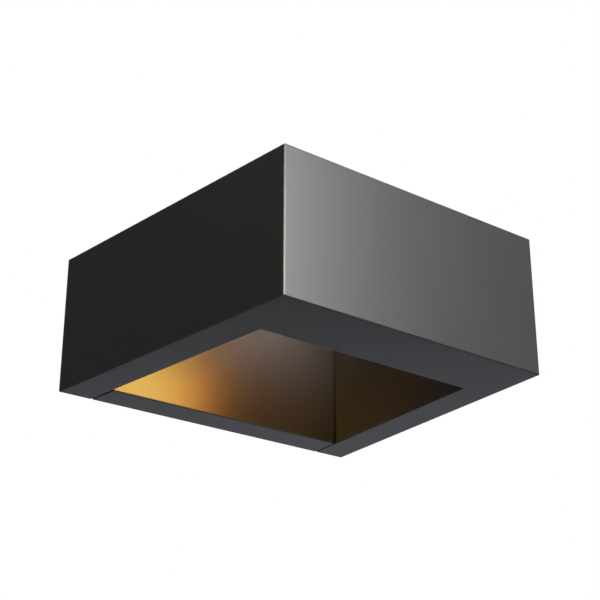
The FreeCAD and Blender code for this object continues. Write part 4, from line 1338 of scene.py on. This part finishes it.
@dataclass
class Studio:
    """Pale floor far below, white background, soft lamps, dark cards and the camera."""

    camera_place: tuple[float, float, float] = (-0.42837, -0.62506, -0.28397)
    camera_azimuth: float = 38.3949
    camera_elevation: float = 23.2860
    sensor_mm: float = 36.0
    focal_px: float = 1352.2946
    half_frame_px: float = 300.0
    clip_start: float = 0.01
    clip_end: float = 50.0
    floor_level: float = -0.95
    floor_half: float = 14.0
    floor_colour: str = "#eff1f5"
    far_glow: float = 0.55
    glow_from: float = 1.3
    glow_to: float = 6.0
    ambient: float = 0.5
    left_gloss: float = 0.05
    right_gloss: float = 0.55
    side_turn: float = 0.5
    overhead_from: float = 0.5
    overhead_to: float = 0.95
    lamps: tuple[Panel, ...] = (
        Panel("key_panel", 22, 14, 1.25, 0.3, 0.9, 14.5),
        Panel("edge_panel_front", -6, 22, 1.2, 0.66, 0.2, 11.0),
        Panel("edge_panel_middle", -37, 22, 1.2, 0.66, 0.2, 11.0, "#fff6ea"),
        Panel("edge_panel_left", -68, 22, 1.2, 0.66, 0.2, 8.6, "#ffe6c8"),
        Panel("overhead_panel", 0, 88, 1.6, 1.6, 1.6, 12.0),
        Panel("back_panel", 165, 35, 1.5, 0.8, 0.8, 8.0),
        Panel("low_panel", 138, -21, 0.39, 0.6, 0.1, 0.048, "#e6ecff"),
    )
    cards: tuple[Card, ...] = (
        Card("grey_card", 142, -23, 0.9, 1.3, "#54565b"),
        Card("low_card_front", 55, -46, 0.6, 0.8, "#0b0b0c"),
        Card("low_card_back", 208, -35, 0.6, 0.6, "#0b0b0c"),
    )

    def camera(self) -> None:
        """Camera at the photograph's place and angle, without shift."""
        data = bpy.data.cameras.new("camera")
        data.sensor_width = self.sensor_mm
        data.lens = self.sensor_mm / 2 / (self.half_frame_px / self.focal_px)
        data.clip_start = self.clip_start
        data.clip_end = self.clip_end
        holder = bpy.data.objects.new("camera", data)
        bpy.context.scene.collection.objects.link(holder)
        turn, lift = math.radians(self.camera_azimuth), math.radians(self.camera_elevation)
        ahead = Vector((math.sin(turn) * math.cos(lift), math.cos(turn) * math.cos(lift),
                        math.sin(lift)))
        holder.location = self.camera_place
        holder.rotation_mode = "QUATERNION"
        holder.rotation_quaternion = ahead.to_track_quat("-Z", "Y")
        bpy.context.scene.camera = holder

    def floor(self) -> None:
        """Pale floor that keeps the object's shadow and turns white far away."""
        half = self.floor_half
        corners = [(-half, -half), (half, -half), (half, half), (-half, half)]
        mesh = bpy.data.meshes.new("floor")
        mesh.from_pydata([(x, y, self.floor_level) for x, y in corners], [], [(0, 1, 2, 3)])
        material = plain_board("floor_pale", self.floor_colour)
        tree = material.node_tree
        place = add_node(tree, "ShaderNodeTexCoord").outputs["Object"]
        reach = add_node(tree, "ShaderNodeVectorMath", {"operation": "LENGTH"}, {0: place})
        shader = tree.nodes["Principled BSDF"]
        shader.inputs["Emission Color"].default_value = (1, 1, 1, 1)
        tree.links.new(spread(tree, reach.outputs["Value"], 0, self.far_glow, self.glow_from,
                              self.glow_to), shader.inputs["Emission Strength"])
        mesh.materials.append(material)
        object_from("floor", mesh)

    def world(self) -> None:
        """White to the camera and through glass; to gloss it is dim on the left, brighter on
        the right and white overhead.
        """
        world = bpy.data.worlds.new("studio")
        bpy.context.scene.world = world
        world.use_nodes = True
        tree = world.node_tree
        tree.nodes.clear()
        path = add_node(tree, "ShaderNodeLightPath")
        way = add_node(tree, "ShaderNodeTexCoord")
        parts = add_node(tree, "ShaderNodeSeparateXYZ", links={"Vector": way.outputs["Generated"]})
        sides = add_node(tree, "ShaderNodeMapRange",
                         {"From Min": -self.side_turn, "From Max": self.side_turn,
                          "To Min": self.left_gloss, "To Max": self.right_gloss},
                         {"Value": parts.outputs["X"]})
        above = add_node(tree, "ShaderNodeMapRange",
                         {"From Min": self.overhead_from, "From Max": self.overhead_to},
                         {"Value": parts.outputs["Z"]})
        studio = add_node(tree, "ShaderNodeMath", {"operation": "MAXIMUM"},
                          {0: sides.outputs["Result"], 1: above.outputs["Result"]})
        unseen = add_node(tree, "ShaderNodeMix", {"A": self.ambient},
                          {"Factor": path.outputs["Is Glossy Ray"], "B": studio.outputs[0]})
        seen = add_node(tree, "ShaderNodeMath", {"operation": "MAXIMUM"},
                        {0: path.outputs["Is Camera Ray"],
                         1: path.outputs["Is Transmission Ray"]})
        level = add_node(tree, "ShaderNodeMix", {"B": 1.0},
                         {"Factor": seen.outputs[0], "A": unseen.outputs["Result"]})
        light = add_node(tree, "ShaderNodeBackground", {"Color": (1, 1, 1, 1)},
                         {"Strength": level.outputs["Result"]})
        add_node(tree, "ShaderNodeOutputWorld", links={"Surface": light.outputs["Background"]})

    def build(self) -> None:
        """Make the camera, floor, world, lamps and cards."""
        self.camera()
        self.floor()
        self.world()
        middle = (cad_low + cad_high) / 2
        for item in self.lamps + self.cards:
            item.place(middle)
        bpy.context.scene.view_settings.view_transform = "Standard"


def main() -> None:
    logging.basicConfig(level=logging.INFO, format="%(message)s")
    Studio().build()
    for assembly in (Casing(), LightEngine(), DriverBay(), WallSide()):
        log.info("building %s", type(assembly).__name__)
        assembly.build()


if __name__ == "__main__":
    main()
